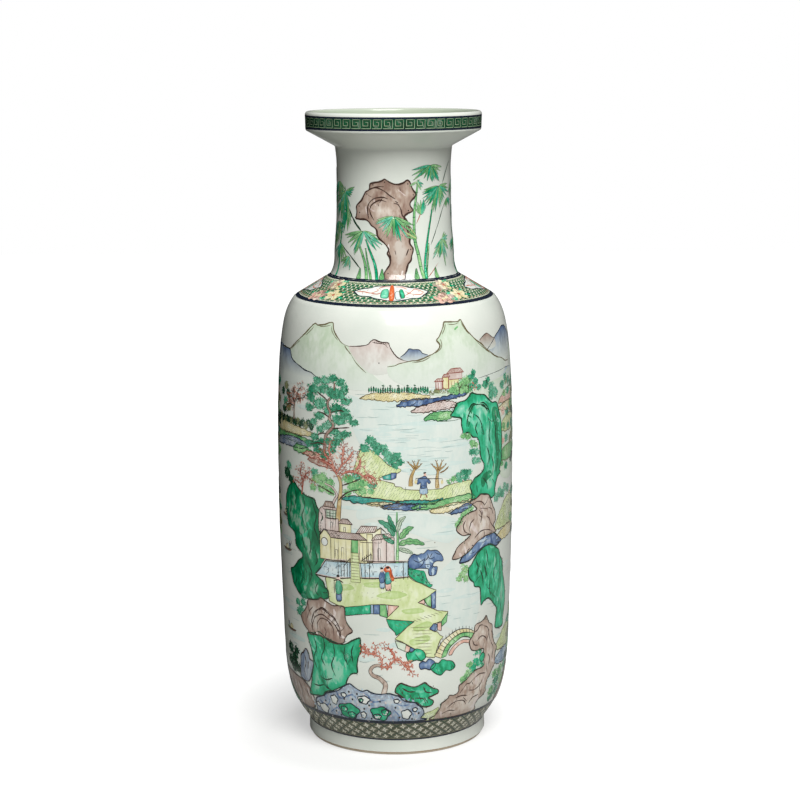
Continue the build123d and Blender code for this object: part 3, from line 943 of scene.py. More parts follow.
# %% Far peaks and the far shore
def peaks():
    """The range at the top: pale green peaks, a manganese pink hill and blue ones behind."""
    wash("blue", "-112,288 -105,287.5 -95,288 -92,285 -90,282.5 -87,280.7 -84,279.8 -78,278 -72,276 "
         "-66,275.2 -60,272.6 -51,271.5 -60,268 -80,266 -112,262", 1.5, fade=(287, 271), strength=0.9)
    wash("pale_green", "-110,288 -95,288.3 -91.5,289.5 -85,294 -80,297.3 -75,301 -70.5,305 -67,308 -63,307.9 "
         "-55,309 -48.8,310.5 -47,306 -44.5,302.5 -42,300 -37,296.5 -33,295 -27,288 -14,276 -6,268 -30,266 "
         "-52,270 -78,277 -92,283", 1, fade=(296, 264))
    line("blue_black", "-112,288.6 -95,288 -92,285 -90,282.5 -87,280.7 -84,279.8 -78,278 -72,276 -66,275.2 "
         "-63,274 -60,272.6 -56,271.8 -51,271.5", 0.8, 1.7)
    line("blue_black", "-104,286 -97,283 -94,277", 1.2, 0.8)
    line("blue_black", "-108,284 -101,279 -99,273", 1.0, 0.8)
    line("olive_ink", "-112,288 -95,288.3 -91.5,289.5 -85,294 -80,297.3 -75,301 -70.5,305 -67,308 -65,308.7 "
         "-63,307.9 -60,308 -55,309 -52,310.2 -48.8,310.5 -48,309.5 -47,306 -44.5,302.5 -42,300 -40,298 "
         "-37,296.5 -33.5,295.5", 0.9, 1.6)
    line("olive_ink", "-37,296 -35,293.5 -31.5,290", 0.6, 1.6)
    lines("olive_ink", ("-66.4,306.4 -69,303.6 -74,299.8", "-60,307 -55,307.6 -50,308.6",
                        "-49.4,308 -48.4,305 -45.6,301.6 -42.5,299", "-80,295.6 -86,292 -91,288.6",
                        "-31.5,290 -27,284 -20,278"), 0.45, 1.8)
    wash("blue", "4,288.8 7,291 9,293 10.5,294.5 13,294 17,293.8 19,292.5 20,291.2 24,290 24,287 10,286", 1,
         fade=(295, 284))
    line("blue_black", "4,288.8 7,291 9,293 10.5,294.5 13,294 17,293.8 19,292.5 20,291.2 24,290", 0.55, 1.6)
    wash("pale_aubergine", "-33.5,295.5 -28,295.8 -22,296.5 -19,297.5 -17.5,299 -16,300.3 -14,300.6 "
         "-12,299.8 -5,298.8 -4,298 -3,295.5 0,291 4,287.8 10,286 12,283 0,279 -14,277 -22,281 -30,289", 1.3,
         fade=(302, 270))
    line("brown_ink", "-33.5,295.5 -28,295.8 -22,296.5 -19,297.5 -17.5,299 -16,300.3 -14,300.6 -12,299.8 "
         "-9,299 -5,298.8 -4,298 -3,295.5 -1.5,293 0,291 2,289 4,287.8 7,286.5 10,286", 0.7, 1.9)
    line("brown_ink", "-16,299 -13,298.4 -7,297.6 -4.6,295", 0.4, 2.1)
    for k in range(9):
        line("brown_ink", [(-14 + 1.3 * k, 299.6 - 0.1 * k), (-14.6 + 1.3 * k, 298.2 - 0.1 * k)], 0.3, 2.1)
    dabs("ink", "-11,285", 0, 0.8, 1.0, 2, "dot")
    wash("blue", "68,288 75,288 80,291 85,294 90,297 95,299 100,301 105,302 112,301 118,297 126,290 126,281 "
         "90,279", 0.6, fade=(302, 280))
    line("blue_black", "70,286 75,288 80,291 85,294 90,297 95,299 100,301 105,302 112,301 118,297 126,290",
         0.6, 1.2)
    wash("aubergine", "69,296 72,298 77,300 80,299.5 84,297 88,295.5 88,290 76,289", 0.9, fade=(300, 288))
    line("brown_ink", "69,296 72,298 77,300 80,299.5 84,297 88,295.5", 0.55, 1.2)
    wash("pale_green", "-5,282.5 3,284.5 12,286.3 20,287.5 28,290.5 31,292.3 33,294.5 33.2,296.5 31,299.5 "
         "33,301.5 37,308 38.5,311 41,311 50,310.6 53.5,311.5 56,306 60,301.5 65,297 75,290 85,284 95,281 "
         "104,277.5 98,270 70,266 40,268 14,268 -2,274", 1.6, fade=(298, 266))
    line("olive_ink", "-5,282.5 0,283.2 3,284.5 8,285.5 12,286.3 16,286.4 20,287.5 24,289 28,290.5 31,292.3 "
         "33,294.5 33.2,296.5 31.8,298.3 31,299.5 33,301.5 35,304.5 37,308 38.5,311 41,311 50,310.6 52,311.4 "
         "53.5,311.5 54.3,309.5 56,306 58,303.5 60,301.5 65,297 70,294 75,290 80,287 85,284 90,282 95,281 "
         "100,279 104,277.5 114,277", 0.9, 2.1)
    lines("olive_ink", ("39.4,310 38,306.6 35.6,303", "34,300 34.8,296.6 33.6,293.4 29.6,290.6",
                        "41,309.6 46,309 51,309.8", "53,310 55,306 59,301.4", "66,295.2 73,290.4 80,286",
                        "12,285 20,286 26,288.6"), 0.5, 2.3)
    dabs("apple_green", "48,306.5 49,307 47,305.8", 0.3, 2, 1.3, 2.1, "dot")


def far_shore():
    """The far bank: yellow land, a row of tiny trees, bushes, and three pavilions behind them."""
    bank("yellow", "-25,260.5 -22,262 -18,263.5 -15,264.5 -5,265 5,265 12,264.5 20,263 24,262.5 24,260.5 "
         "12,259.5 0,259 -12,259.5 -20,260", 2, "olive_ink", 0.5)
    random = dice(5, 5)
    places = np.column_stack([np.linspace(-18, 23, 26), 266 + 0.5 * np.sin(np.arange(26) * 0.9)])
    dabs("dark_green", places + (0, 0.6), 1.57, random.uniform(3.6, 5.6, 26), 1.25, 3)
    dabs("tree_green", places + (0.5, 0.6), 1.57, random.uniform(2.2, 3.8, 26), 0.8, 3.3)
    for u in (-8, -3, 2.5, 9, 14):
        line("ink", [(u, 264), (u, 270.5)], 0.35, 3.3)
        dabs("dark_green", [(u, 268), (u, 269.6), (u, 266.6)], (0.2, -0.2, 0), 2.2, 1.0, 3.4)
    for u, z, r in marks("11,266.5,2 15,266,2 19,265.5,2.2 22,265,1.8 26,264,2 30,265,2.4 34,265,2.2 "
                         "38,264,2"):
        clump((u, z), (r, r * 0.8), 3, "tree_green" if u < 24 else "olive", "dark_green", 1.2)
    wash("pale_green", "24,263 38,263.5 56,264 75,266 105,268 118,264 118,256 88,254 62,257 54,262 38,261",
         1.8, strength=0.8)
    bank("blue", "1.5,255.5 4,258 8,260 24,260 38,261 54,262 52,260 43,259 28,257.5 24,256.5 16,255.5", 2.2,
         "blue_black")
    bank("pale_aubergine", "11,251.5 15,254 24,256.5 34,258 44,256 44,253 36,252 18,251", 2.6, "brown_ink")
    bank("apple_green", "20,245.5 24,249 30,250.5 38,250.5 43,249 41,246 36,244.7 28,245", 2.2, "green_ink")
    line("green_ink", "30,244 40,243.6 48,244.2", 0.35, 2.4)
    plane("pale_aubergine", "29,266 34,266 34,271.6 29,271.6", 3, "rose_ink")
    tiled("35.2,271.4 28,271.4 30.5,273.4 34,273.4", 3.6, "roof", ink="rose_ink")
    plane("wall_yellow", "34.4,266 38.7,266 38.7,273.5 36.8,275 34.4,273.5", 3.2, "rose_ink")
    tiled("40,274 34,274 35.6,276 38.8,276", 3.7, "roof", ink="rose_ink")
    plane("pale_aubergine", "39,272 50,272 50,276.6 39,276.6", 3, "rose_ink")
    plane("wall_yellow", "39,265 47,265 47,272 39,272", 2.8, "rose_ink")
    tiled("51.5,276.4 37.5,276.4 41,279.4 48.6,279.4", 3.6, "roof", ink="rose_ink")
    for u in (31, 33, 41, 43.5, 46):
        line("rose_ink", [(u, 266), (u, 271)], 0.28, 3.5, sharp=True)
    for u, z, r in marks("42,265,2.6 46,266.5,2.8 50,268,3.2 54,270,3.2 58,272,2.6 60.5,275,2 54,264.6,3 "
                         "59,266,2.8 62,269,2.2 45,263,2 50,263.6,2.2 65,264,2.2"):
        clump((u, z), (r * 1.2, r), 4, "apple_green" if u < 56 else "tree_green", "ink", 1.3)
    dabs("coral", "58,265.5 60,264.6 61.5,266 60,267.4 62.6,264.4 59,268 61,263", 0.4, 1.3, 1.0, 5.5, "dot")
    branches(("47,262 47.4,266 46,270", "47.4,265 50,268.4", "55,262 55.4,267 57,271.6",
              "55.4,265 52.6,268"), 0.5, 4.9)
    wash("light_blue", "62,270.5 75,271.3 85,272 95,272.5 105,273 118,272 118,268 90,268 70,268", 1.2,
         fade=(273, 266), strength=0.7)
    line("blue_black", "65,270.5 75,271.3 85,272 95,272.5 105,273 116,272", 0.35, 1.9)


# %% The lake and its right shore
def lake():
    """Open water, level strokes and pale washes, from the far bank down to the court and again below it."""
    for water in ("-40,262 -30,240 -22,226 -6,222 6,216 36,204 54,204 64,214 64,226 52,244 40,247 30,246 "
                  "10,252 0,257 -20,260", "-24,184 0,183 40,176 50,166 46,150 34,140 26,132 24,108 44,94 "
                  "60,90 66,118 52,140 46,160 36,158 8,168 -8,178 -26,176"):
        wash("lake_blue", water, 0.2, strength=0.4)
    ripples(-100, 100, 262, 272, 16, 0.4, 1)
    ripples(-24, 40, 214, 258, 34, 0.4, 2, 18)
    ripples(-100, -28, 222, 258, 16, 0.4, 3)
    ripples(2, 50, 206, 240, 22, 0.4, 9, 16)
    ripples(-30, 60, 150, 186, 26, 0.4, 4, 16)
    ripples(-110, -84, 70, 190, 26, 0.4, 5)
    ripples(0, 100, 100, 146, 26, 0.4, 6)
    ripples(-35, 20, 50, 104, 22, 0.4, 7)
    ripples(80, 112, 40, 140, 22, 0.4, 8)


def right_shore():
    """The great emerald rock over the lake on the right, its trees and the strips of land behind it."""
    wash("pale_green", "84,262 96,266 118,268 118,200 88,200 88,240", 1.2, strength=0.8)
    for name, outline in (
            ("blossom", "88,250 96,256 108,258.5 118,257 118,250 100,249"),
            ("yellow", "88,246 100,249 118,248 118,243 96,243"),
            ("meadow", "90,231 98,238.5 110,240 118,239 118,229 100,228"),
            ("apple_green", "88,210 98,217.5 118,217 118,208 100,207"),
        ):
        bank(name, outline, 1.6, "olive_ink", seed=3)
    for k, (u, z, r) in enumerate(((94, 262, 3), (102, 264, 3.4), (98, 255, 3), (106, 256, 3.4),
                                   (95, 243, 3.4), (103, 241, 3.6), (112, 243, 3.4), (96, 232, 3),
                                   (105, 231, 3.4), (94, 222, 3), (101, 223, 3.6), (110, 221, 3.4),
                                   (92, 206, 3), (100, 203, 3.4))):
        clump((u, z), (r, r * 0.8), 2, ("tree_green", "olive", "apple_green", "emerald", "blossom")[k % 5],
              "dark_green" if k % 5 != 4 else "coral", 1.4)
    for u, z, r in marks("72,265,3 75,268,2.4 79,262,3.6 84,258,3.4 78,257,3 95,262,3 101,266,3 108,263,3"):
        clump((u, z), r, 2.4, "tree_green", "dark_green", 1.6)
    rock("emerald", "40,247 42,250 43.5,252.5 45,255 48,256 52,256.5 55,258.5 58,261 63,259.5 67,259 71,258 "
         "74,255.5 77,253 80,251.5 83,251.5 86,250 88,245 90,240 92,232 92,212 90,206 88.5,202 90,200.5 "
         "85,197 82,190 82,186 78,184 74,187 66,188.5 60,185.5 57,186 57.5,188 57,192 55.5,196 57.5,198 "
         "60,201 63,202 67,204 69,206.5 69,210 67,213 65.5,217 65,222 64,227 62,229.5 59,230 57,231.5 54,234 "
         "50,233.5 49.5,236 48.5,240 48.5,244.5 45,245.5", 3, ("53,238 54,244 56,248 58,251 61,252.5 66,252",
        "66,252 70,251 72,249 75,247 76,244", "60,246 64,243 67,238 68,232", "74,242 76,236 75,228 77,222",
        "82,246 84,238 83,229 85,221", "72,222 75,215 74,208", "63,240 61,236 63,231",
        "78,214 80,207 79,200", "68,200 72,196 73,191"), 16, "emerald_light", seed=1, moss_share=0.22,
         ink="dark_green_ink")
    for patch in ("62,248 66,250 69,246 68,238 66,230 64,236 62,242", "71,236 75,238 77,230 76,218 75,206 "
                  "72,204 71,216 70,226", "44,250 49,254 52,252 50,248 46,247.6"):
        wash("emerald_light", patch, 3.25)
    for patch in ("80,248 86,246 88,236 86,230 88,218 86,206 83,202 84,214 82,224 82,234 79,241",
                  "56,252 60,254 58,248 56,240 54,238 55,246", "66,199 70,203 76,204 78,200 72,197 68,193"):
        wash("emerald_deep_and_shade", patch, 3.25)
    for crease in ("54.6,249 57.6,252.8 61.6,253.4", "66,253 70,252.6 74,249 76.6,245",
                   "67,251.4 71,249.6 74,246"):
        line("dark_green_ink", crease, 0.9, 3.7)
    for u, z, r in marks("50,232,2 54,231,2.2 58,226,2.6 61,224.5,2 58,220,2.4 62,219,2.4 60,213.5,2.6 "
                         "64,213,2"):
        clump((u, z), (r * 1.2, r), 3.8, "apple_green" if z > 223 else "tree_green", "ink", 1.2)
    for u, z, r in marks("38.5,201.5,1.9 42,203,2.5 46,205,2.7 50,206.5,2.8 54,206,3 47,201.6,2.4 "
                         "52,202.5,2.6"):
        clump((u, z), (r, r * 0.8), 3.8, "apple_green" if u < 43 else "tree_green", "dark_green", 1.4)
    rock("blue", "47,142.5 49,146 53,149.5 58,153 63,155.5 70,157.5 77,159 82,158 86,155 90,152.5 92.5,150.5 "
         "88,149 84,148 78,150 72,150.5 66,149 62,147 58,144 54,142.5 50,142", 3, (), 9, "light_blue",
         "blue_black", lean=0.5, moss_share=0)
    rock("rock_brown", "57,186 60,186 63,187 66,188.5 70,187.5 74,187 76,184.5 78.5,180 80,177 82.5,173.5 "
         "83,167 81,165 80.5,163 83,160 84,158.5 76,158 70,157.5 62,154.5 56,150 50,147 45,145.5 41,146 "
         "43,150 44.5,153 48,156 52,158 56.5,161.5 50,161.5 46.5,163.5 44.5,165.5 44.5,168 47,171 50,175 "
         "55,177 62,178.5 58,182.5 56,184", 3.6, ("52,172 50,169 50,167 51,164.5 53,163 56,161.5",
        "60,172 57,170 56,168 55,165 56,163", "72,172 75,170 76,168 77,166 79,164 83,160",
        "74,178 76,177 78,176 79,174 80,172", "58,182.5 62,184 67,183 70,180", "64,178 67,174 66,168",
        "60,158 66,162 73,162 79,160"), 8, "pale_aubergine", seed=2, width=0.8)
    for u, z in marks("45.4,170 47.4,173 50,176 53,178.4 56.4,180"):
        clump((u, z), (2.5, 2.1), 3.4, "apple_green", "green_ink", 1.3, "green_ink")
    bank("meadow", "83,160 86,168 92,174 100,180 118,182 118,162 100,160", 2, "olive_ink")
    hatched("85,163 90,170 98,176 114,178 114,164 98,162", 2.8)
    bank("yellow", "84,153 90,157 102,160 118,160 118,153 96,151", 2.3, "olive_ink")
    for u, z, r in marks("84,183,3 89,186,3.4 94,184,3 98,188,3 104,186,3"):
        clump((u, z), r, 3, "tree_green", "dark_green", 1.6)
    rock("emerald", "60,143 64,147 70,150 76,151 81,149 85,146.5 89,144 91,139 94,136 96,131 97,125 99,120 "
         "102,113 103,106 102,98 100,92 99,86 87,87 87,94 88,101 84,105 80,109 76,111.5 71,110.5 68,108 "
         "67.5,113 67,118 66,121.5 61,123 60,126 57,128.5 55,132 55,137 58,140", 3.4,
         ("62,141 64,136 62,131", "72,148 74,141 72,134 74,128", "84,144 85,136 82,129 84,121",
          "90,138 91,128 93,118", "78,126 77,119 79,113", "94,112 95,104 93,96", "66,134 69,128 70,120"), 10,
         "emerald_light", seed=5, ink="dark_green_ink")
    for u, z, r in marks("47,131,2.4 50,134,3 53,137,2.6 52.6,130,2.4 50,139,2"):
        clump((u, z), (r, r * 0.9), 3.2, "apple_green", "green_ink", 1.4, "coral_ink")


# %% The pine, the blossoming trees and the meadow
def pine_shore():
    """The left middle: banks in strips, a tall pine, a small tree with bare branches, and bushes."""
    bank("yellow", "-118,236.4 -100,237 -80,235.6 -64,233.4 -60,231.5 -66,230 -84,229.6 -118,229", 1.6,
         "olive_ink")
    bank("apple_green", "-118,228.6 -96,229.4 -78,229 -66,227.4 -60,225 -92,224 -118,224", 1.5, "green_ink")
    bank("rock_grey", "-118,222 -96,226.6 -84,227.4 -72,226 -66,223 -76,220.5 -100,219.6 -118,218", 2,
         "blue_black")
    bank("apple_green", "-84,221 -78,223 -70,222.5 -64,220 -60,218 -72,217 -84,218", 2.3, "green_ink")
    bank("blossom", "-73,217.6 -66,220 -58,219.6 -50,216.4 -56,215.2 -66,216", 2.6, "rose_ink")
    bank("rock_brown", "-68,214.4 -60,216.2 -51,214.6 -43,211.2 -52,210.8 -62,212", 2.4, "rose_ink")
    for k, u in enumerate(range(-112, -61, 3)):
        clump((u, 238.6 + 1.2 * np.sin(u)), (2.5, 2.5), 2.4, ("dark_green", "dark_green", "olive")[k % 3],
              "ink", 1.3)
    ticks("ink", "-110,241 -66,238", 3.0, 1.9, 3.2, 0.4)
    trunk("-84,240 -84,246 -83,252 -81,257", 1.6, 3, "aubergine")
    paths = ("-84,249 -90,250 -96,248", "-83,252 -88,255 -93,255", "-82,254 -77,255.5 -72,257 -70,261",
             "-81,256 -79,261 -75,264", "-84,252 -86,258 -84,262")
    branches(paths, 0.7, 3.5, "brown_ink")
    twigs(paths, 3.6, "brown_ink", "coral", 3.0, 2.6)
    for u, z in marks("-90,252 -85,260 -78,256 -93,257"):
        clump((u, z), (2.6, 2.2), 2.9, "aubergine", "brown_ink", 1.3)
    for u, z, name in ((-97, 262, "olive"), (-93, 257, "dark_green"), (-98, 251, "tree_green"),
                       (-103, 257, "dark_green"), (-92, 247, "olive"), (-100, 245, "dark_green")):
        clump((u, z), (3.6, 2.8), 3, name, "ink", 1.4)
    pine("-53,218 -52,222 -51,232 -48,236 -45,239 -45,242 -48,245 -47,249 -49,253 -49,257 -46,260 -44,264 "
         "-44,270", ("-49,257 -54,260 -60,263", "-48,246 -53,248 -58,249", "-46,238 -40,239 -32,240",
                     "-47,249 -41,251 -36,251", "-46,260 -40,262 -34,258", "-50,234 -55,234 -60,231",
                     "-51,226 -57,227 -66,225"), marks("-45,273,3.4,2.6 -39,270.5,3.4,2.4 -36,266,3,2.4 "
        "-59,270.5,3.4,2.2 -52,271,4,2.6 -62,264,6,3.2 -52,265,4.6,2.8 -65,258,3.6,2.6 -56,254.5,6,3.4 "
        "-66,251,3.6,2.4 -57,246,4,2.4 -42,262,6,3.6 -35,258,4,2.6 -42,252.5,4.4,2.8 -36,250.5,3.4,2.4 "
        "-40,245,5.6,3 -33,247,3,2.2 -29,243.5,3.2,2 -51,239.5,3.6,2.2 -56,236.5,3,2 -44,236,4.2,2.4 "
        "-35,235,3.6,2.2 -40,231.5,3.6,2.2 -61,231,3.6,2 -55,228,3,2 -67,225.5,3.4,2 -58,222,3.4,2 "
        "-52,218.5,3.4,2.2 -48,264,4,2.6 -49,250,3.6,2.2 -47,242,3.4,2.2 -48,229,3.2,2.2 -43,228.5,3.4,2.2 "
        "-46,223.5,3.2,2 -60,226,3.4,2 -62,241,3,2"), 3)



def blossom_trees():
    """Foliage in three greens over the court's roofs, and two trees in coral blossom above it."""
    for u, z, r, name in ((-95, 200, 5, "dark_green"), (-89, 196, 4, "dark_green"),
                          (-92, 206, 4, "tree_green"), (-61, 206, 3.4, "tree_green"),
                          (-60, 201, 4.0, "apple_green"), (-63, 195, 3.2, "apple_green"),
                          (-54, 203, 4.4, "apple_green"), (-54, 196, 4.6, "apple_green"),
                          (-48, 200, 3.8, "apple_green"), (-47, 194, 3.4, "apple_green"),
                          (-33, 204, 4.2, "apple_green"), (-27, 206, 3.2, "tree_green"),
                          (-29, 199, 4.6, "apple_green"), (-34, 194, 3.0, "apple_green"),
                          (-22, 202, 3.8, "apple_green"), (-23, 196, 3.6, "apple_green"),
                          (-16, 200, 3.2, "tree_green"), (-17, 196, 2.6, "apple_green")):
        clump((u, z), (r, r * 0.78), 3.2, name, "green_ink", 1.3, "green_ink")
    trunk("-42,166 -41,178 -40,188 -39,195 -39,201 -41,206", 4.2, 4, "tan")
    trunk("-46,170 -47,180 -44,188 -42,192 -46,197 -52,199", 2.4, 3.9, "pale_aubergine")
    branches(("-41,188 -36,193 -30,196 -24,197", "-44,192 -52,195 -59,197", "-38,199 -30,202 -24,205"), 0.9,
             4.2)
    paths = ("-41,205 -45,211 -50,213.5 -56,215", "-43,208 -46,216 -48,223 -47,229",
             "-42,207 -38,214 -37,221 -36,228", "-38,213 -33,218 -29,224", "-40,205 -34,209 -27,209 -21,206 "
             "-15,201", "-29,209 -25,214 -24,219", "-22,206.5 -17,207 -13,204", "-46,215 -51,219 -53,223")
    for place in marks("-46,218 -38,221 -31,217 -50,213 -24,211 -19,205"):
        spots, random = scattered(place, (5, 4.4), 14, 2)
        dabs("blossom", spots, random.uniform(0, 3, 14), random.uniform(1.2, 2.4, 14), 1.2, 2.9)
    branches(paths, 1.5, 5, "rose_ink")
    branches(paths, 1.0, 5.3, "salmon")
    twigs(paths, 5.3, "rose_ink", "coral_ink", 3.6, 3.1, 3, 0.6, 0.28)
    trunk("-75,188 -74,192 -73,197 -72,201", 1.2, 4.2, "coral", "rose_ink")
    paths = ("-73,196 -76,203 -80,205", "-72,200 -70,203 -66,206", "-73,198 -70,202 -66,200 -62,198.5",
             "-74,193 -78,196 -84,197", "-76,203 -74,209")
    branches(paths, 0.7, 4.6, "rose_ink")
    twigs(paths, 4.9, "rose_ink", "coral", 2.8, 2.6, 8, 0.7, 0.26)


def meadow():
    """The yellow-green tongue of land across the middle, two willows, and someone with a carrying pole."""
    land = ("-25,223 -22,225 -16,225 -10,220 -4,214.5 1,213 4,211.5 2,209.5 -3,208.5 -8,207 -11,205 -5,203 "
            "-1,202 0,200 4,199.5 6,198 15,197 24,196.8 33,197 36,198.5 47,200 57,200 55.5,196 58,192 "
            "57,189.5 50,189.5 45,188 38,188 28,186 22,186 15,187 0,189.5 -12,191.5 -26,193 -30,205")
    form("meadow", land, 2, "olive_ink", 0.5)
    hatched(land, 2.8, "green_ink", 2.1, 3.2, 0.9, 0.2)
    form("turquoise", "-9,207 -3,209 -3,204.5 -8,205", 2.8, "ink", 0.35, sharp=True)
    form("blue", "-3,209.5 1,209.5 0.5,206 -3,204.5", 2.8, "ink", 0.35, sharp=True)
    for u, z, r in marks("-17,232,3 -21,226.5,3 -14,229,2.6 -12,226,3.6 -8,227,2.2 -6,223,2.6 -3,219,3.4 "
                         "1,221,2.6 3,217,2.2 0,214.5,2.2"):
        clump((u, z), (r * 1.2, r), 3, "tree_green", "dark_green", 1.5)
    willow((10.5, 200), 15.5, 3, 1, 3.0)
    willow((29.5, 197.5), 16, 3, 2, 0.5)
    line("tan_ink", "31,208 35,209.5 38,212", 0.8, 3.6)
    for place in ("7,197 7,199", "41,193 41,196"):
        ticks("green_ink", place, 1.4, 0.7, 3.4)
    form("light_blue", "17.4,199 21.4,199.4 22.4,194.6 19.6,193.8 16.8,194.8", 4, "ink", 0.3)
    form("blue", "18.2,206 20.6,206.6 22.6,204.6 24.6,202.4 23.4,201 21.8,202.4 21.6,198.4 17.4,198.2 "
         "17.6,202 15.4,201 14.8,203 16.4,205.4", 4.3, "ink", 0.32)
    line("rose_ink", "18,194.6 17.2,191.4", 0.6, 4.2)
    line("rose_ink", "20.8,194.4 22.2,191.2", 0.6, 4.2)
    dabs("blossom", "20.6,207.6", 0, 2, 2.2, 4.6, "dot")
    dabs("ink", "20.4,208.9", 0.1, 2.2, 1.1, 4.9, "dot")
    line("ink", "14,205.4 24,204.6 33,204", 0.45, 5)
    for u, z in marks("14.2,203 33,201.6"):
        dabs("yellow", [(u, z)], 1.57, 3.2, 2.0, 5, "dot")
        line("ink", [(u, z + 2.4), (u, z + 0.8)], 0.25, 5.3)


def shore_strips():
    """Where the tongue of land meets the water: ribbons of teal, yellow, green and dark blue."""
    for k, (name, ink, ribbon) in enumerate((
            ("turquoise", "ink", "-38,190 -30,192.4 -18,192 -6,190.6 2,189.4 0,187.6 -8,187 -20,187.4 "
                                 "-32,188"),
            ("yellow", "olive_ink", "-20,187.6 -10,189 0,188.4 6,187.4 0,185.4 -10,185.6"),
            ("turquoise", "ink", "0,189 12,190 26,189.4 34,190 26,187 8,187"),
            ("blue", "blue_black", "-10,185.4 -3,187.8 8,188 18,187 22,185.2 12,183.6 -2,183.8"),
            ("apple_green", "green_ink", "10,184.6 18,187.4 28,188.4 40,189.8 54,190.6 60,189 58,186 46,185 "
             "32,183.6 20,183"),
            ("yellow", "olive_ink", "24,182.4 32,184.6 44,186 56,186.4 60,184.4 48,182 36,180 28,179.8"),
            ("blue", "blue_black", "38,178.6 44,181.6 52,184 58,184.4 56,181 46,178"),
        )):
        bank(name, ribbon, 2.3 + 0.15 * k, ink)


# %% The court by the lake
def cliff():
    """The great emerald cliff on the left and the boats beyond it."""
    boat(-98, 143, 15, 1.5)
    boat(-97, 84, 16, 1.5, -1)
    boat(-99, 168, 11, 1.5)
    # The cliff is washed in the darker emerald as painted shade, because the left side of the vase lies in
    # shade.
    rock("emerald_deep_and_shade", "-85,195 -80,192 -75,189.5 -70,187.5 -62,186.5 -60.5,184 -59,181 -55,177 -54.5,174 "
         "-56,170 -57,160 -57,155 -56,151 -54.5,148.5 -53.5,146 -53.5,140 -57,138 -60,135 -62,132.5 -58,130 "
         "-55,128 -54,125 -51,122 -50.5,119 -51,117 -55,115.5 -66,113.5 -72,113 -78,113.8 -82,115 -86,118 "
         "-89.5,120.5 -91,124 -93,130 -88,132.5 -84,136 -80,139.5 -77,141 -75.5,143 -76,145 -80,147.5 "
         "-83.5,150 -84,154 -85,158 -88,160 -92,161 -95,163 -98,172 -98,178 -97,184 -92,191", 3, (
        "-64,186 -62,180 -60,175 -62,168 -62,165 -60,161 -58,155", "-74,189 -72,180 -75,172 -72,165",
        "-84,192 -82,184 -85,176", "-90,188 -89,178 -92,170 -88,164", "-68,160 -66,152 -68,145",
        "-76,160 -74,152 -71,148", "-62,150 -60,143 -63,138", "-70,140 -66,133 -68,126",
         "-78,136 -76,128 -80,121", "-60,127 -63,121 -60,117", "-87,131 -85,125 -87,120"), 16, "emerald",
         seed=11, ink="dark_green_ink")


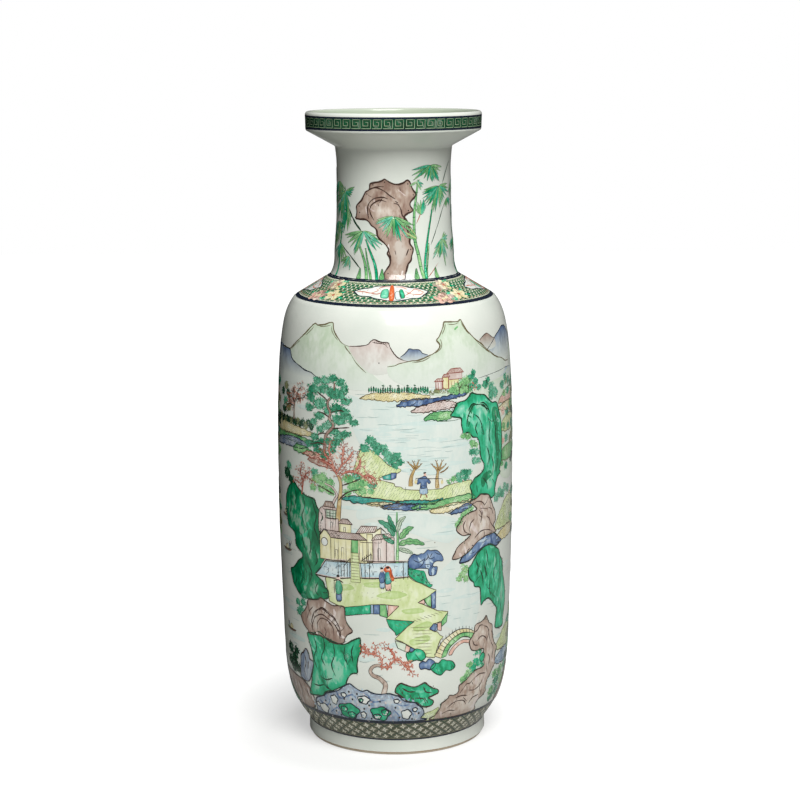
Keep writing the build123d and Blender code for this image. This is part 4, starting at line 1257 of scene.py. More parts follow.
def court():
    """A walled court with yellow and pink walls, pale tiled roofs, a round window and a lattice pavilion."""
    form("pale_aubergine", "-57,180 -53,182 -51.5,176 -52,164 -57,163 -58,170", 3.6, "brown_ink", 0.5)
    plane("pale_green", "-51,174.5 -43,174.5 -43,181 -51,181", 4)
    for u in np.arange(-50, -43, 1.3):
        line("green_ink", [(u, 175), (u, 180.8)], 0.3, 4.6, sharp=True)
    for z in (176.5, 178.5):
        line("green_ink", [(-51, z), (-43, z)], 0.3, 4.6, sharp=True)
    plane("roof", "-53.5,180.8 -43,180.8 -42,182.6 -54.5,182.6", 4.2, "brown_ink")
    tiled("-43.4,182.6 -53.8,182.6 -51.5,186.6 -46,186.8", 4.8, "aubergine", ink="brown_ink")
    plane("roof", "-52,165.5 -41,165.5 -41,175 -52,175", 4.4, "brown_ink")
    line("ink", "-47.4,166 -47.4,171.6 -46.6,172.4 -45.8,171.6 -45.8,166", 0.4, 5, sharp=True)
    plane("wall_yellow", "-40.5,165 -31.5,165 -31.5,172 -40.5,172", 4.2, "brown_ink")
    line("brown_ink", "-37,165.4 -37,169.6 -35.6,169.6 -35.6,165.4", 0.35, 4.7, sharp=True)
    tiled("-30.4,172 -41.6,172 -38,175.6 -34,175.6", 4.9, "roof", ink="brown_ink")
    plane("wall_yellow", "-25,160 -10,160 -10,170 -25,169", 4.2, "brown_ink")
    tiled("-14.6,167.4 -28,166 -24,171.4 -12.6,171.8", 4.9, "roof", ink="brown_ink")
    line("brown_ink", "-14.6,167.2 -10.4,171 -6,167", 0.5, 5.3, sharp=True)
    plane("wall_yellow", "-57,145 -47.6,145 -47.6,161.5 -51.4,165.3 -53.5,165.6 -57,161.5", 4.6, "brown_ink")
    plane("wall_yellow", "-47.6,145 -20,145 -20,162 -47.6,162", 4.6, "brown_ink")
    plane("wall_yellow", "-20,145.5 -16,145.5 -16,166 -20,166", 4.5, "brown_ink")
    plane("roof", "-16,145.5 -6.4,146 -6.4,162.6 -8.4,163.4 -16,162.4", 4.8, "brown_ink")
    plane("pale_aubergine", "-6.4,146 -1,146 -1,164 -6.4,163.4", 4.7, "brown_ink")
    tiled("-20,161.6 -47.6,161.2 -50.6,166.2 -26,165.8", 5.4, "roof", ink="brown_ink")
    tiled("-2.6,164 -17,161.6 -13.5,165.8 -4.6,166.8", 5.4, "roof", ink="brown_ink")
    for u in (-44.6, -41.5, -35.5, -31, -25.5, -23, -19):
        line("brown_ink", [(u, 145), (u, 160.5)], 0.32, 5.2, sharp=True)
    for u in (-15.2, -12, -6.5):
        line("ink", [(u, 146), (u, 161.5)], 0.35, 5.2, sharp=True)
    for left, top in marks("-44,153 -39,155 -12.4,156"):
        line("brown_ink", [(left, 147), (left, top), (left + 1.8, top), (left + 1.8, 147)], 0.3, 5.3,
             sharp=True)
    turn = np.linspace(0, 2 * np.pi, 17)[:-1]
    form("white", np.column_stack([-53 + 2.8 * np.cos(turn), 157.4 + 2.9 * np.sin(turn)]), 5.4, "brown_ink",
         0.45)
    line("ink", "-57.6,161.5 -53.6,166.4 -50.6,166.2 -47.4,161.4", 0.6, 5.9, sharp=True)
    line("ink", "-47.4,161 -20,161.4", 0.45, 5.9, sharp=True)
    for u, z in marks("-46.4,163.2 -43.4,164 -44.8,161.8 -41.4,162.6"):
        line("ink", [(u - 1, z), (u, z + 0.9), (u + 1, z)], 0.35, 6)


def railing():
    """The low wall of blue crackle along the water, with its rail and posts, and the steps through it."""
    walls = ("-62,132.5 -57,137.5 -53,143.5 -32,144.8 -32,134 -46,132.5", "-25,146 8.5,146 8.5,136 -24,134.5")
    for wall in walls:
        plane("crackle_blue", wall, 4)
        creased(drawn(wall, True, True), 34, 4.6, "blue_black", 4.5, 0.22, 1.2, 3)
        creased(drawn(wall, True, True), 14, 4.6, "blue_black", 4.0, 0.22, 0.2, 9)
    for rail in ("-57,138 -52,144.6 -32,145.8", "-25,146.8 9,146.8", "-62,132.2 -46,132 -32,133.6",
                 "-25,134 9,135.4"):
        line("brown_ink", rail, 0.7, 5, sharp=True)
        line("roof", spaced(marks(rail), 2) + (0, 0.8), 0.6, 5)
    for u in (-42, -39.6, -37.2, -34.8, -33, -21.6, -18.4, 5.4, 8.4):
        line("ink", [(u, 134), (u, 147)], 0.42, 5.2, sharp=True, ends=0.8)
    plane("apple_green", "-31.4,161 -26.4,161 -26.4,152 -31.8,152", 5, "olive_ink", 0.35)
    plane("meadow", "-31.8,152 -26.4,152 -25,131 -32.2,131", 5, "olive_ink", 0.35)
    for z in np.arange(133, 152, 2.1):
        line("olive_ink", [(-32, z), (-25.6, z)], 0.25, 5.6, sharp=True)
    line("ink", "-24,146.8 -17,152 -17,146.8", 0.45, 5.4, sharp=True)
    line("ink", "-38,141 -32.4,148 -32.4,142", 0.45, 5.4, sharp=True)
    for k in range(5):
        line("ink", [(-23.4 + 1.5 * k, 147), (-23.4 + 1.5 * k, 149.4 + k)], 0.3, 5.6, sharp=True)
    figure(-42, 115.2, 19.5, 5.4, "tree_green", "blue")
    line("brown_ink", "-45.6,121 -45.4,133", 0.4, 6.4)
    line("brown_ink", "-46,130.4 -42,131.4 -38,129.6", 0.7, 6.4)
    figure(-9.6, 127, 15.5, 5.4, "blue", "light_blue")
    figure(-5.4, 125.6, 17.5, 5.6, "turquoise", "blossom", 0.8)
    form("orange", "-6.8,143.2 -8.4,141 -6.8,139.4 -4.8,139.6 -4,136 -2.6,133 -1.2,134.4 -2.6,138.4 -3.4,142 "
         "-5,143.6", 6.8, "coral_ink", 0.35)


# %% The terrace in front of the court
def plantain():
    """A plantain behind the wall with torn leaves, a blue garden rock and a bush."""
    trunk("1,146 1.5,163 1,172 1,182", 1.8, 4.6, "apple_green", "green_ink")
    for k, (path, width) in enumerate((("-1,165 -4,171 -8,174 -12,176", 4.2), ("0,168 -3,174 -5,180", 3.4),
                                       ("3,163 6,167 9,170 12.5,171", 4.4), ("1,168 3,175 7,179", 3.4),
                                       ("2,159 8,161 14,160.6 20,158.5", 4.4), ("-1,160 -6,163 -9,166", 3.4),
                                       ("2,156 7,154.6 12,152.6", 3.0))):
        spine = drawn(path, step=1.0)
        run = np.linspace(0, 1, len(spine))
        ahead = np.gradient(spine, axis=0)
        ahead /= np.hypot(*ahead.T)[:, None]
        half = width * np.sqrt(np.clip(np.sin(np.pi * run**0.8), 0, 1)) * 0.46
        half = half * (1 + 0.18 * np.sin(run * 24 + k))
        aside = np.column_stack([-ahead[:, 1], ahead[:, 0]]) * np.maximum(half, 0.15)[:, None]
        form("tree_green" if k in (0, 1, 5) else ("apple_green" if k in (2, 4) else "pale_green"),
             np.vstack([spine + aside, (spine - aside)[::-1]]), 5 + 0.1 * k, "green_ink", 0.35)
        line("dark_green_ink", path, 0.3, 6)
        for side in (1, -1):
            dabs("green_ink", spine + 0.5 * side * aside, np.arctan2(ahead[:, 1], ahead[:, 0]) + 1.15 * side,
                 half, 0.22, 5.9)
    rock("blue", "8.5,147 10,150 12.5,152 15,151 17.5,152 19.5,152 22.5,154.5 24.5,153.7 28.5,153.7 31,152 "
         "33,149.5 34,146.5 33,145.5 29.5,146 27,145 26,143 27,142 29.5,141.7 29,138 28,136 24,136 23,138.5 "
         "22.5,141 15,141.5 10,141 9,143", 4.4, ("12,148 16,146 20,148", "22,152 24,148 28,149",
        "24,144 20,144"), 8, "light_blue", "blue_black", 0.5, 0)
    form("emerald", "9,137.5 9,142 13,141 17,140 20,139 22,133 24,130 26,129 24,127.5 20,130 15,132 11,135",
         4.6, "green_ink", 0.4)
    for u, z in marks("11,139 14,137 17,137 19,134 22,131"):
        clump((u, z), (1.8, 1.5), 5, "tree_green", "dark_green", 1.4)


def terrace():
    """The level ground before the court, with the faceted edges that painters give to a cut bank of earth."""
    ground = ("-53,131 -51,134 -25,134.6 8,136 9,136 12,133 18,130.5 24,127 29,125 25,122 22,120 18,118.5 "
              "15.5,117 20,115 25,112.5 30,110 38,108.5 37,105 33,102 28,101 24,97 28,95 30,94.5 32,92 "
              "34.5,90.5 32,88 30,83 28,76 22,77 20,79 15,82.5 9,86 4,89 -1,91 4,96 8,100 13,103.5 -7,105.5 "
              "-6,107 2,115 -8,116 -18,115.5 -30,113 -38,112 -44,113 -50,115")
    form("meadow", ground, 2.4, "olive_ink", 0.6, sharp=True)
    for touch in ("-44,127 -34,129 -30,126 -40,124", "-22,131 -8,132 -6,129 -20,128",
                  "-14,122 -2,126 8,123 -2,120", "4,112 16,113 20,110 8,109", "12,99 22,103 26,100 16,96",
                  "10,90 22,93 24,89 12,86"):
        wash("grass", touch, 2.7)
    hatched("-50,117 -50,132 6,133 14,118 0,117", 3, "olive_ink", 5.2, 2.0, 0.15, 0.2)
    for name, facet in (
            ("blossom", "15.5,117 20,119 20.5,115.5"),
            ("apple_green", "20,119 25,122 25,113 22,115"),
            ("blue", "25,122.5 28.5,124.4 28.5,112 25.5,112"),
            ("emerald", "-38,112 -18,115.5 -18,109 -26,108 -37,106"),
            ("light_blue", "-18,115.5 -16,115.7 -16,109 -18,109"),
            ("blue", "-16,115.7 -11.5,115.8 -11.5,109 -16,109"),
            ("apple_green", "-11.5,115.8 -7,115.8 -6,106.5 -11.5,108"),
            ("blossom", "-5.5,115.6 2,115 -3,110 -6,107"),
            ("emerald", "-7,105.5 13,103.5 8,100 3,95.5 0,93.5 -1,96 -5,100"),
            ("apple_green", "33,102 38,108 37,101 33,98"),
            ("blue", "24,97.5 27,101 30,100 28,95"),
            ("blossom", "30,101 33,101 33,95 30,96"),
            ("pale_green", "-1,90 5,88 7,87 6,82 1,84.5"),
            ("blossom", "7,86.5 10,85 9,81 6,82"),
            ("blue", "10,85 15,82.5 13,81 9.5,82"),
            ("light_blue", "28,100.8 30,100 30,96 28,95"),
        ):
        form(name, facet, 3.2, "ink", 0.4, sharp=True)
    hatched("-36,107 -36,111 -20,113.5 -19,109.5", 4, "dark_green_ink", 1.6, 1.8, 1.4, 0.2)
    for u in np.arange(0, 36, 2.6):
        line("olive_ink", [(u - 1, 101.5 + 0.25 * u), (u + 2.4, 100 + 0.25 * u)], 0.25, 3.3)
    for z in np.arange(80, 100, 2.4):
        line("olive_ink", [(16 - 0.3 * (z - 80), z), (26, z - 0.6)], 0.28, 3.3)
    rock("emerald", "7,80 9,81.6 11,81 14,83.4 18,82.6 20.6,80 21,76.6 18,74.6 14,75.4 10,73.8 8,76", 3.8,
         (), 3, None, "dark_green_ink", 0.6, 0.1, 2)
    rock("blue", "16.5,72 19,74 21.4,73.4 24,75.5 28,73 28.5,70 25,67.4 21,68.6 17.6,68.4", 4.2, (), 3, None,
         "blue_black", 0.6, 0)
    rock("emerald", "25,68.6 28,72 31,71.6 34,74 38,72.6 42,71.6 44.6,67.4 41,65 37,65.6 33,62.6 28,65", 4.4,
         (), 5, None, "dark_green_ink", 0.6, 0.1, 3)


# %% Bridge, strange rocks and the old plum at the foot
def bridge():
    """A humped bridge of three ribs between the bank and the tall rock."""
    outer = "28,77 33,86 38,90 45,93.5 50,94 56,93 62,90"
    middle = "33,75 36,82 42,88 50,91 58,90 62,88"
    inner = "37,76 40,82 45,85.5 50,88 56,87 60,84"
    ribs = [drawn(path, step=1.2) for path in (outer, middle, inner)]
    wash("yellow", np.vstack([ribs[0], ribs[1][::-1]]), 3, sharp=True)
    wash("apple_green", np.vstack([ribs[1], ribs[2][::-1]]), 3, sharp=True)
    form("blossom", "39,77 42,81.6 47,84.8 52,85.8 58,84.4 57,82.6 52,83.6 47.6,82.4 43.6,79.4 41.6,76.4",
         2.7, "brown_ink", 0.35)
    for path in (outer, middle, inner):
        line("ink", path, 0.6, 3.6)
    count = 15
    steps = [np.array([np.interp(np.linspace(0, 1, count), np.linspace(0, 1, len(rib)), column)
                       for column in rib.T]).T for rib in ribs]
    for a, b in zip(steps[0], steps[1]):
        line("ink", [a, b], 0.3, 3.6, sharp=True, ends=0.9)
    for a, b in zip(steps[1][::2], steps[2][::2]):
        line("green_ink", [a, b], 0.25, 3.6, sharp=True, ends=0.9)
    dabs("ink", steps[0] + (0, 1.2), 1.57, 2.4, 0.5, 3.6)


def tall_rock():
    """The tall aubergine rock at the right of the foot, with bushes growing in its hollow."""
    bank("meadow", "84,70 92,76 104,84 118,88 118,71 104,69", 1.8, "olive_ink")
    bank("light_blue", "86,61 96,67 108,68.5 118,68 118,60 100,58", 2.2, "blue_black")
    for u, z, r in marks("88,40,4 94,46,4.6 100,52,4.6 106,44,5 98,38,4.6 90,52,3.6 110,54,4 90,34,3.6"):
        clump((u, z), (r, r * 0.8), 2.4, "tree_green" if z % 4 else "apple_green", "dark_green", 1.8)
    rock("rock_brown", "57,83.5 60,87 61.5,90 62,93.5 64,95 68,95.5 72,97 74,99 75.5,97 78,93 82,90.5 "
         "82.5,86 84,81 85.5,77 89,73.5 90,71.5 88,69 88,60 85,57 82,53 79,50 78,45 79,42 76,39 73,38 70,36 "
         "68.5,33 67,28.6 28,28.6 31,32 34,37 35,40.5 37,42 40,44 41,46 45,45.5 47,46 49,48 49,52 52,53.5 "
         "56,56 62,60 66,61 73,62 73,66 71,70 72,75 64,75.5 60,76.5 58,79", 4, ("61,89 65,90.5 67,93 70,93 "
        "72,92", "72,92 76,90 78,86 79,82 81,78", "81,78 84,74 84,70 83,64", "50,46 53,49 56,52 59,52 62,54",
        "62,54 66,56 70,57 76,56", "64,82 69,85 74,83 76,79", "60,84 62,80 66,79", "78,70 80,66 79,60",
        "40,36 46,40 54,40 58,36", "58,47 64,46 70,48 73,52", "36,32 42,34 48,33", "60,36 64,40 70,41",
        "46,43 52,44 58,43"), 12, "pale_aubergine", seed=21, width=0.8)
    for u, z, r in marks("53,56.5,3 57,60,3.4 62,63,3.6 58,66,2.8 64,68,2.6 68,66,3.4 71,64,2.2 64,73.5,2.2 "
                         "68,74,2.2"):
        clump((u, z), (r, r * 0.8), 3.8, "apple_green" if u < 60 else "emerald", "dark_green", 1.5,
              "green_ink")
    form("emerald", "68,70 71,72.6 73.6,70.4 72.4,66.8 69.4,66", 4.8, "dark_green_ink", 0.6)


def old_plum():
    """An old plum with a knotted trunk and coral buds along its shoots."""
    trunk("-10,49 -9,52 -8,57 -10,60 -13,62.4 -17,64 -19,67 -17,70.4 -13,71.6 -9,70", 3.8, 4.4, "rock_brown",
          "ink")
    dabs("brown_ink", "-9.4,55 -9.6,58.6 -14,63 -17.6,66 -15,70.4", (1.4, 1.8, 2.6, 1.9, 0.4), 2.2, 0.4, 5)
    paths = ("-12,71 -6,70.5 -4,73 -1,76 2,76 5,73 9,69 12,65", "-1,76 -2,80 -5,84 -8,85",
             "-10,72 -11,77 -15,79.5 -20,80 -25,81", "-15,80 -15,86", "-20,80 -24,85", "5,73 10,74")
    branches(paths, 1.5, 5, "coral_ink")
    branches(paths, 0.8, 5.3, "salmon")
    twigs(paths, 5.3, "coral_ink", "coral", 3.0, 3.4, 13, 0.9, 0.34)


def foot_rocks():
    """The strange rocks: aubergine and emerald on the left, and a pierced grey-blue lake rock in front."""
    for u, z, r in marks("-100,70,5 -94,64,5 -90,58,4.4 -102,60,5 -97,56,4 -90,70,4"):
        clump((u, z), (r, r * 0.8), 2, "dark_green", "ink", 1.8)
    rock("aubergine", "-118,30 -118,50 -108,52 -96,51 -85,50 -76,46 -72,38 -76,30 -92,28.6", 2.8,
         ("-110,46 -100,40 -96,34", "-92,48 -88,42 -90,35", "-80,44 -79,37"), 10, "pale_aubergine", seed=9)
    rock("aubergine", "-80,99.5 -79,95 -76,92 -72,89 -70,87 -60,88 -50,85 -44,84.5 -39,86 -38,89 -36,92 "
         "-32,95 -35,99 -37,103 -37.5,107 -38,112 -42,112.5 -47,112 -50,113 -54,114.5 -58,116 -61,114 "
         "-66,113 -71,112 -73,107 -76,103", 3.8, ("-67,93 -68,97 -67,100 -65,104 -62,106 -57,109 -50,106",
        "-50,106 -46,103 -45,101 -43,98 -42,95 -41,89", "-62,92 -62,97 -58,101 -52,100 -48,96 -47,90",
        "-73,98 -70,104 -66,108", "-56,95 -54,92 -55,88"), 6, "pale_aubergine", seed=4, width=0.8)
    for shift in (0.0, 1.3):
        line("brown_ink", marks("-67,93 -68,97 -67,100 -65,104 -62,106.4 -57,108 -51,105.4 -46,102 -43,98 "
                                "-42,95 -41.6,90") * (1 - 0.02 * shift) + (shift * -1.1, -shift), 0.8, 4.5,
             seed=int(shift))
    for u, z in marks("-66,101 -63,104.4 -59,106.6 -54,106 -50,104 -47,101 -44.6,97.6 -43.4,94"):
        line("brown_ink", [(u - 1.2, z - 1.2), (u, z + 0.9), (u + 1.4, z - 0.6)], 0.4, 4.6)
    for u, z in marks("-84,108 -80,104 -77,109 -83,101 -76,114"):
        clump((u, z), (3, 2.4), 4.6, "tree_green", "dark_green", 1.5)
    rock("rock_grey", "-76,75 -73,72 -72,68 -68,67 -69,62 -72,55 -75,51 -80,50 -86,52 -85,58 -84,64 -83,69 "
         "-79,72", 3, ("-78,70 -77,64 -80,58", "-74,66 -75,60"), 5, None, seed=6)
    rock("emerald", "-26.5,90.5 -26,86 -25.5,82 -28,76 -29,70 -29,65 -33,64 -36,61 -38,57 -39,54.5 -44,52 "
         "-50,49 -55,47.5 -58,46 -61,43 -66,42 -76,41 -74,46 -72,51 -70,58 -68,64 -68,68 -69,75 -71,80 "
         "-73.5,86 -72,88 -66,88.5 -61,90.5 -58,89.5 -55,87.5 -50,86 -45,85 -40,84.5 -36,86 -31,89", 3.4,
         ("-66,86 -64,78 -67,70 -64,62", "-57,88 -56,80 -59,72 -56,66", "-48,84 -47,76 -50,68 -47,60",
          "-38,84 -39,76 -36,70", "-62,58 -56,56 -50,58", "-31,86 -33,80 -32,72", "-70,50 -64,50 -58,52"), 6,
         "emerald_light", seed=7, ink="dark_green_ink")
    for k in range(5):
        line("dark_green_ink", [(-58 + 1.2 * k, 62 - k), (-60 + 1.2 * k, 56 - k),
                                (-57 + 1.2 * k, 50.4 - 0.4 * k), (-52 + 1.2 * k, 48.6)], 0.4, 4, seed=k)
        line("dark_green_ink", [(-42 + 1.1 * k, 80 + 0.4 * k), (-38 + 1.1 * k, 76),
                                (-36.6 + 1.1 * k, 70 + k)], 0.4, 4, seed=k)
    rock("emerald", "0,56 3,58.5 6,57.5 10,56 14,55.5 18,57 21,58 24,55.5 28,53 31,52 31.5,49.5 28,48 "
         "24,46.5 26,45 28,43.5 27,40.5 22,39.5 18,41 15,43.5 9,44.5 5,47.5 1,50.5 -1,52", 4,
         ("4,55 9,52 14,52", "20,55 22,51 27,50", "14,47 20,46 22,42"), 8, "emerald_light", seed=8)
    form("meadow", "19,29 22,34 28,36 33,38 31,33 29,28.6", 4.2, "olive_ink", 0.4)
    hatched("20,29.5 22,33.4 28,35.4 32,37 30,31", 4.9, "green_ink", 1.5, 2.4)
    rock("rock_grey", "-74,28.6 -72,29 -70,38 -66,41 -60,43 -57,45.5 -50,48 -45,50 -40,54 -36,56 -34,55.5 "
         "-30,53 -26,51.5 -22,52.5 -19,51 -13,50 -6,50.8 -1,49.5 2,48.5 5,45.5 9,44 14,43.5 16,41.5 19,39.5 "
         "21,36 21,34 19,31 17,28.6", 4.6, (), 0, None, "blue_black", moss_share=0.12)
    ring = np.linspace(0, 2 * np.pi, 21)[:-1]
    wobble = 1 + 0.1 * np.sin(5 * ring + 1) + 0.06 * np.sin(3 * ring)

    def opening(u, z, across, up, inside="white"):
        """A hole through the pierced rock: a dark lip, then what is seen through it."""
        loop = np.column_stack([u + across * wobble * np.cos(ring), z + up * wobble * np.sin(ring)])
        form(inside, loop, 5.3, "blue_black", 0.8)

    for u, z, across, up, inside in ((-62, 33, 4.4, 3.8, "white"), (-50, 42, 3.0, 3.5, "white"),
                                     (-38, 35, 8.4, 6.0, "emerald"), (-42, 36, 2.6, 2.2, "white"),
                                     (-36, 32, 3.2, 2.4, "white"), (-25, 45, 4.6, 3.0, "white"),
                                     (-27, 44.5, 1.6, 1.4, "emerald"), (-12.5, 35, 7.4, 5.4, "emerald"),
                                     (-9, 36, 2.6, 2.4, "white"), (-15, 32.4, 2.8, 2.0, "white"),
                                     (7.5, 34.5, 3.8, 3.8, "white"), (-26, 33, 2.2, 2.6, "white"),
                                     (0, 45, 2.0, 1.6, "white"), (-41, 47, 2.2, 1.7, "white"),
                                     (-68, 35, 1.6, 2.0, "white"), (14, 38, 1.8, 1.6, "white")):
        opening(u, z, across, up, inside)
    dabs("ink", "-59,39.5 -41,44 -36.5,50 -34,44.5 -25,38 -12.5,44.5 -1,40 17,35 -50,33 -55,37 -21,41 -30,49 "
         "2,32 -65,30.5 -46,30.5 -20,30.5 12,30.5", 0, 1.6, 1.8, 5.4, "dot")
    lines("blue", ("-66,39 -60,36 -56,38 -52,47", "-48,50 -44,44 -34,48 -30,44",
                   "-31,52 -22,49 -18,44 -8,46", "-4,49 2,42 10,42", "-56,31 -48,36 -48,31",
                   "-2,38 2,33 1,29", "13,32 12,38 16,36"), 1.1, 4.9)
    swirls = sprinkled(drawn("-70,30 -68,38 -50,46 -36,54 -20,50 0,48 14,42 19,34 16,29.5", closed=True),
                       3.6, 2, 0.3)
    random = dice(3, 33)
    dabs("light_blue", swirls + 1.2, random.uniform(0, 3.1, len(swirls)), 3.0, 1.5, 4.9)
    dabs("pale_aubergine", swirls[::3] - 1.2, random.uniform(0, 3.1, len(swirls[::3])), 2.2, 1.2, 4.9)


def landscape_front():
    """The landscape as the front of the vase shows it, far things first."""
    for part in (lake, peaks, far_shore, pine_shore, right_shore, meadow, shore_strips, blossom_trees, cliff,
                 court, plantain, terrace, railing, bridge, old_plum, tall_rock, foot_rocks):
        part()


landscape_front()
print("front:", {name: len(parts) for name, parts in coats.items()})

# %% [markdown]
# ## The back
# The photograph shows only the front. The lake goes on round the wall, as it does on vases of this kind,
# with the same painter's stock of motifs in another order: the pine and a cliff at the left, the court
# turned the other way in the middle, a pagoda on the far bank, a sailing boat, and rocks along the foot.

# %% A pagoda, a sailing boat and the joins
def pagoda(u=0.0, z=0.0, storeys=6, width=11.0, storey=5.2):
    """A pagoda on the far bank: storeys that narrow upwards, each under eaves with raised corners."""
    for k in range(storeys):
        half, foot = width / 2 * (1 - 0.12 * k), z + k * storey
        plane("wall_yellow" if k % 2 else "pale_aubergine",
              [(u - half * 0.72, foot), (u + half * 0.72, foot), (u + half * 0.66, foot + storey * 0.7),
               (u - half * 0.66, foot + storey * 0.7)], 3, "brown_ink")
        form("dark_green" if k % 2 else "roof", [(u - half * 1.15, foot + storey * 0.86),
            (u - half * 0.7, foot + storey * 0.62), (u + half * 0.7, foot + storey * 0.62),
            (u + half * 1.15, foot + storey * 0.86), (u + half * 0.5, foot + storey),
            (u - half * 0.5, foot + storey)], 3.6, "brown_ink", 0.35)
        line("ink", [(u, foot + 0.4), (u, foot + storey * 0.5)], 0.9, 3.6, sharp=True)
    top = z + storeys * storey
    line("ink", [(u, top), (u, top + 6)], 0.5, 4, sharp=True)
    dabs("orange", [(u, top + 2), (u, top + 4)], 0, 2.0, 1.4, 4.3, "dot")


def sailing_boat(u=0.0, z=0.0, long=26.0):
    """A river junk: a long hull with a raised stern, a matting cabin, one battened sail, and two people."""
    w = long / 2
    form("aubergine", [(u - w, z + 4.5), (u - w * 0.8, z + 0.6), (u, z - 0.6), (u + w * 0.75, z + 0.6),
                       (u + w, z + 3.6), (u + w * 0.7, z + 2.4), (u - w * 0.6, z + 2.2)], 3, "ink", 0.45)
    form("yellow", [(u - w * 0.62, z + 2.2), (u - w * 0.6, z + 6), (u - w * 0.3, z + 7.4), (u, z + 6),
                    (u + w * 0.02, z + 2.2)], 3.4, "brown_ink", 0.4)
    line("brown_ink", [(u + w * 0.2, z + 2), (u + w * 0.2, z + 26)], 0.6, 3.2, sharp=True)
    sail = drawn([(u + w * 0.16, z + 7), (u + w * 0.12, z + 24), (u + w * 0.8, z + 20),
                  (u + w * 0.85, z + 8)], closed=True, sharp=True)
    form("tan", sail, 3.8, "brown_ink", 0.45, sharp=True)
    for rise in range(9, 23, 2):
        line("brown_ink", [(u + w * 0.15, z + rise), (u + w * 0.82, z + rise - 0.6)], 0.28, 4.4, sharp=True)
    figure(u - w * 0.8, z + 2.6, 7.5, 4, "blue", "apple_green")
    figure(u + w * 0.62, z + 2.4, 6.5, 4.6, "coral", "yellow")
    for drop in (1.4, 2.8, 4.0):
        line("water_ink", [(u - w * 1.1, z - drop), (u, z - drop - 0.5), (u + w * 1.1, z - drop)], 0.35, 2.6)


def joins():
    """What covers the places where the front and the back of the lake meet: bushes, a hill and foot rocks."""
    for middle, rows in (
            (118, "262,3 254,3.4 246,3 239,3.2 231,3.4 223,3 213,3.2 207,3 182,3.4 172,3 162,3.4 153,3 "
                  "88,3.6 78,4 68,4 60,3.6"),
            (413, "262,3 250,3.2 243,3 236,3.4 228,3 221,3.4 212,3.2 182,3 172,3.2 162,3 154,3"),
        ):
        for k, (z, r) in enumerate(marks(rows)):
            for step in (-1, 0, 1):
                place = middle + 3.4 * step + 2.5 * np.sin(2.4 * k), z + 1.6 * np.sin(k + 2.0 * step)
                clump(place, (r * 1.1, r * 0.8), 5.2 + 0.2 * step,
                      ("tree_green", "olive", "apple_green", "dark_green")[k % 4], "dark_green", 1.5)
    wash("blue", "374,279 382,286 390,291 396,289 402,292 408,289 420,288 424,264 374,264", 2.7,
         fade=(292, 266), strength=0.8)
    line("blue_black", "374,279 382,286 390,291 396,289 402,292 408,289 416,288.3", 0.7, 3.4)
    wash("pale_green", "118,289 124,285 134,280 146,284 146,262 112,262", 1.2, fade=(292, 266))
    line("olive_ink", "117,291 124,285 134,280 144,283", 0.7, 2.4)
    rock("rock_grey", "370,28.6 372,40 378,49 384,52 388,60 394,64 399,60 404,58 408,50 414,44 418,36 "
         "420,28.6", 10, ("384,50 386,42 384,34", "394,62 396,50 394,40", "404,56 406,46"), 8, "light_blue",
         "blue_black", seed=3)
    rock("emerald", "392,28.6 394,36 400,40 406,38 412,42 418,40 424,34 428,28.6", 12,
         ("400,38 402,34", "412,40 413,34"), 5, "emerald_light", "dark_green_ink", seed=4)
    rock("aubergine", "104,28.6 106,36 110,42 112,50 118,54 124,50 130,52 136,46 138,38 144,34 148,28.6", 10,
         ("112,48 116,42 114,34", "124,49 126,42 124,35", "134,45 134,38"), 7, "pale_aubergine", seed=6)
    rock("rock_grey", "130,28.6 134,35 142,38 150,42 158,38 164,40 170,35 176,28.6", 12,
         ("142,36 144,32", "152,40 154,34"), 5, "light_blue", "blue_black", seed=7)


# %% The back of the vase
def landscape_back():
    """The same motifs again, moved, resized, mirrored and raised over one another where they meet."""
    placed(lake, 265)
    placed(peaks, 262, -36, 1.12, -1)
    placed(far_shore, 262, -2, mirror=-1)
    placed(pine_shore, 236)
    placed(right_shore, 295)
    placed(cliff, 80, mirror=-1)
    for part in (meadow, shore_strips):
        placed(part, 232, 20, 0.85, -1, over=2)
    for part in (blossom_trees, court, plantain, terrace, railing, bridge):
        placed(part, 258, 22, 0.9, -1, over=4)
    placed(tall_rock, 253.7, -4.3, 1.15, -1, over=1)
    placed(foot_rocks, 258, mirror=-1, over=8)
    placed(old_plum, 262, -2, mirror=-1, over=6)
    placed(pagoda, 300, 262)
    placed(sailing_boat, 212, 132)
    placed(sailing_boat, 318, 238, 0.8, -1, over=2)
    joins()


landscape_back()
print("with the back:", {name: len(parts) for name, parts in coats.items()})

# %% [markdown]
# ## The neck
# A pierced scholar's rock stands among bamboo, the stock pair of motifs for a neck. The rock has a ring of
# hollows, and the bamboo its leaves in sprays that hang from the joints, three or four sprays to a stalk.

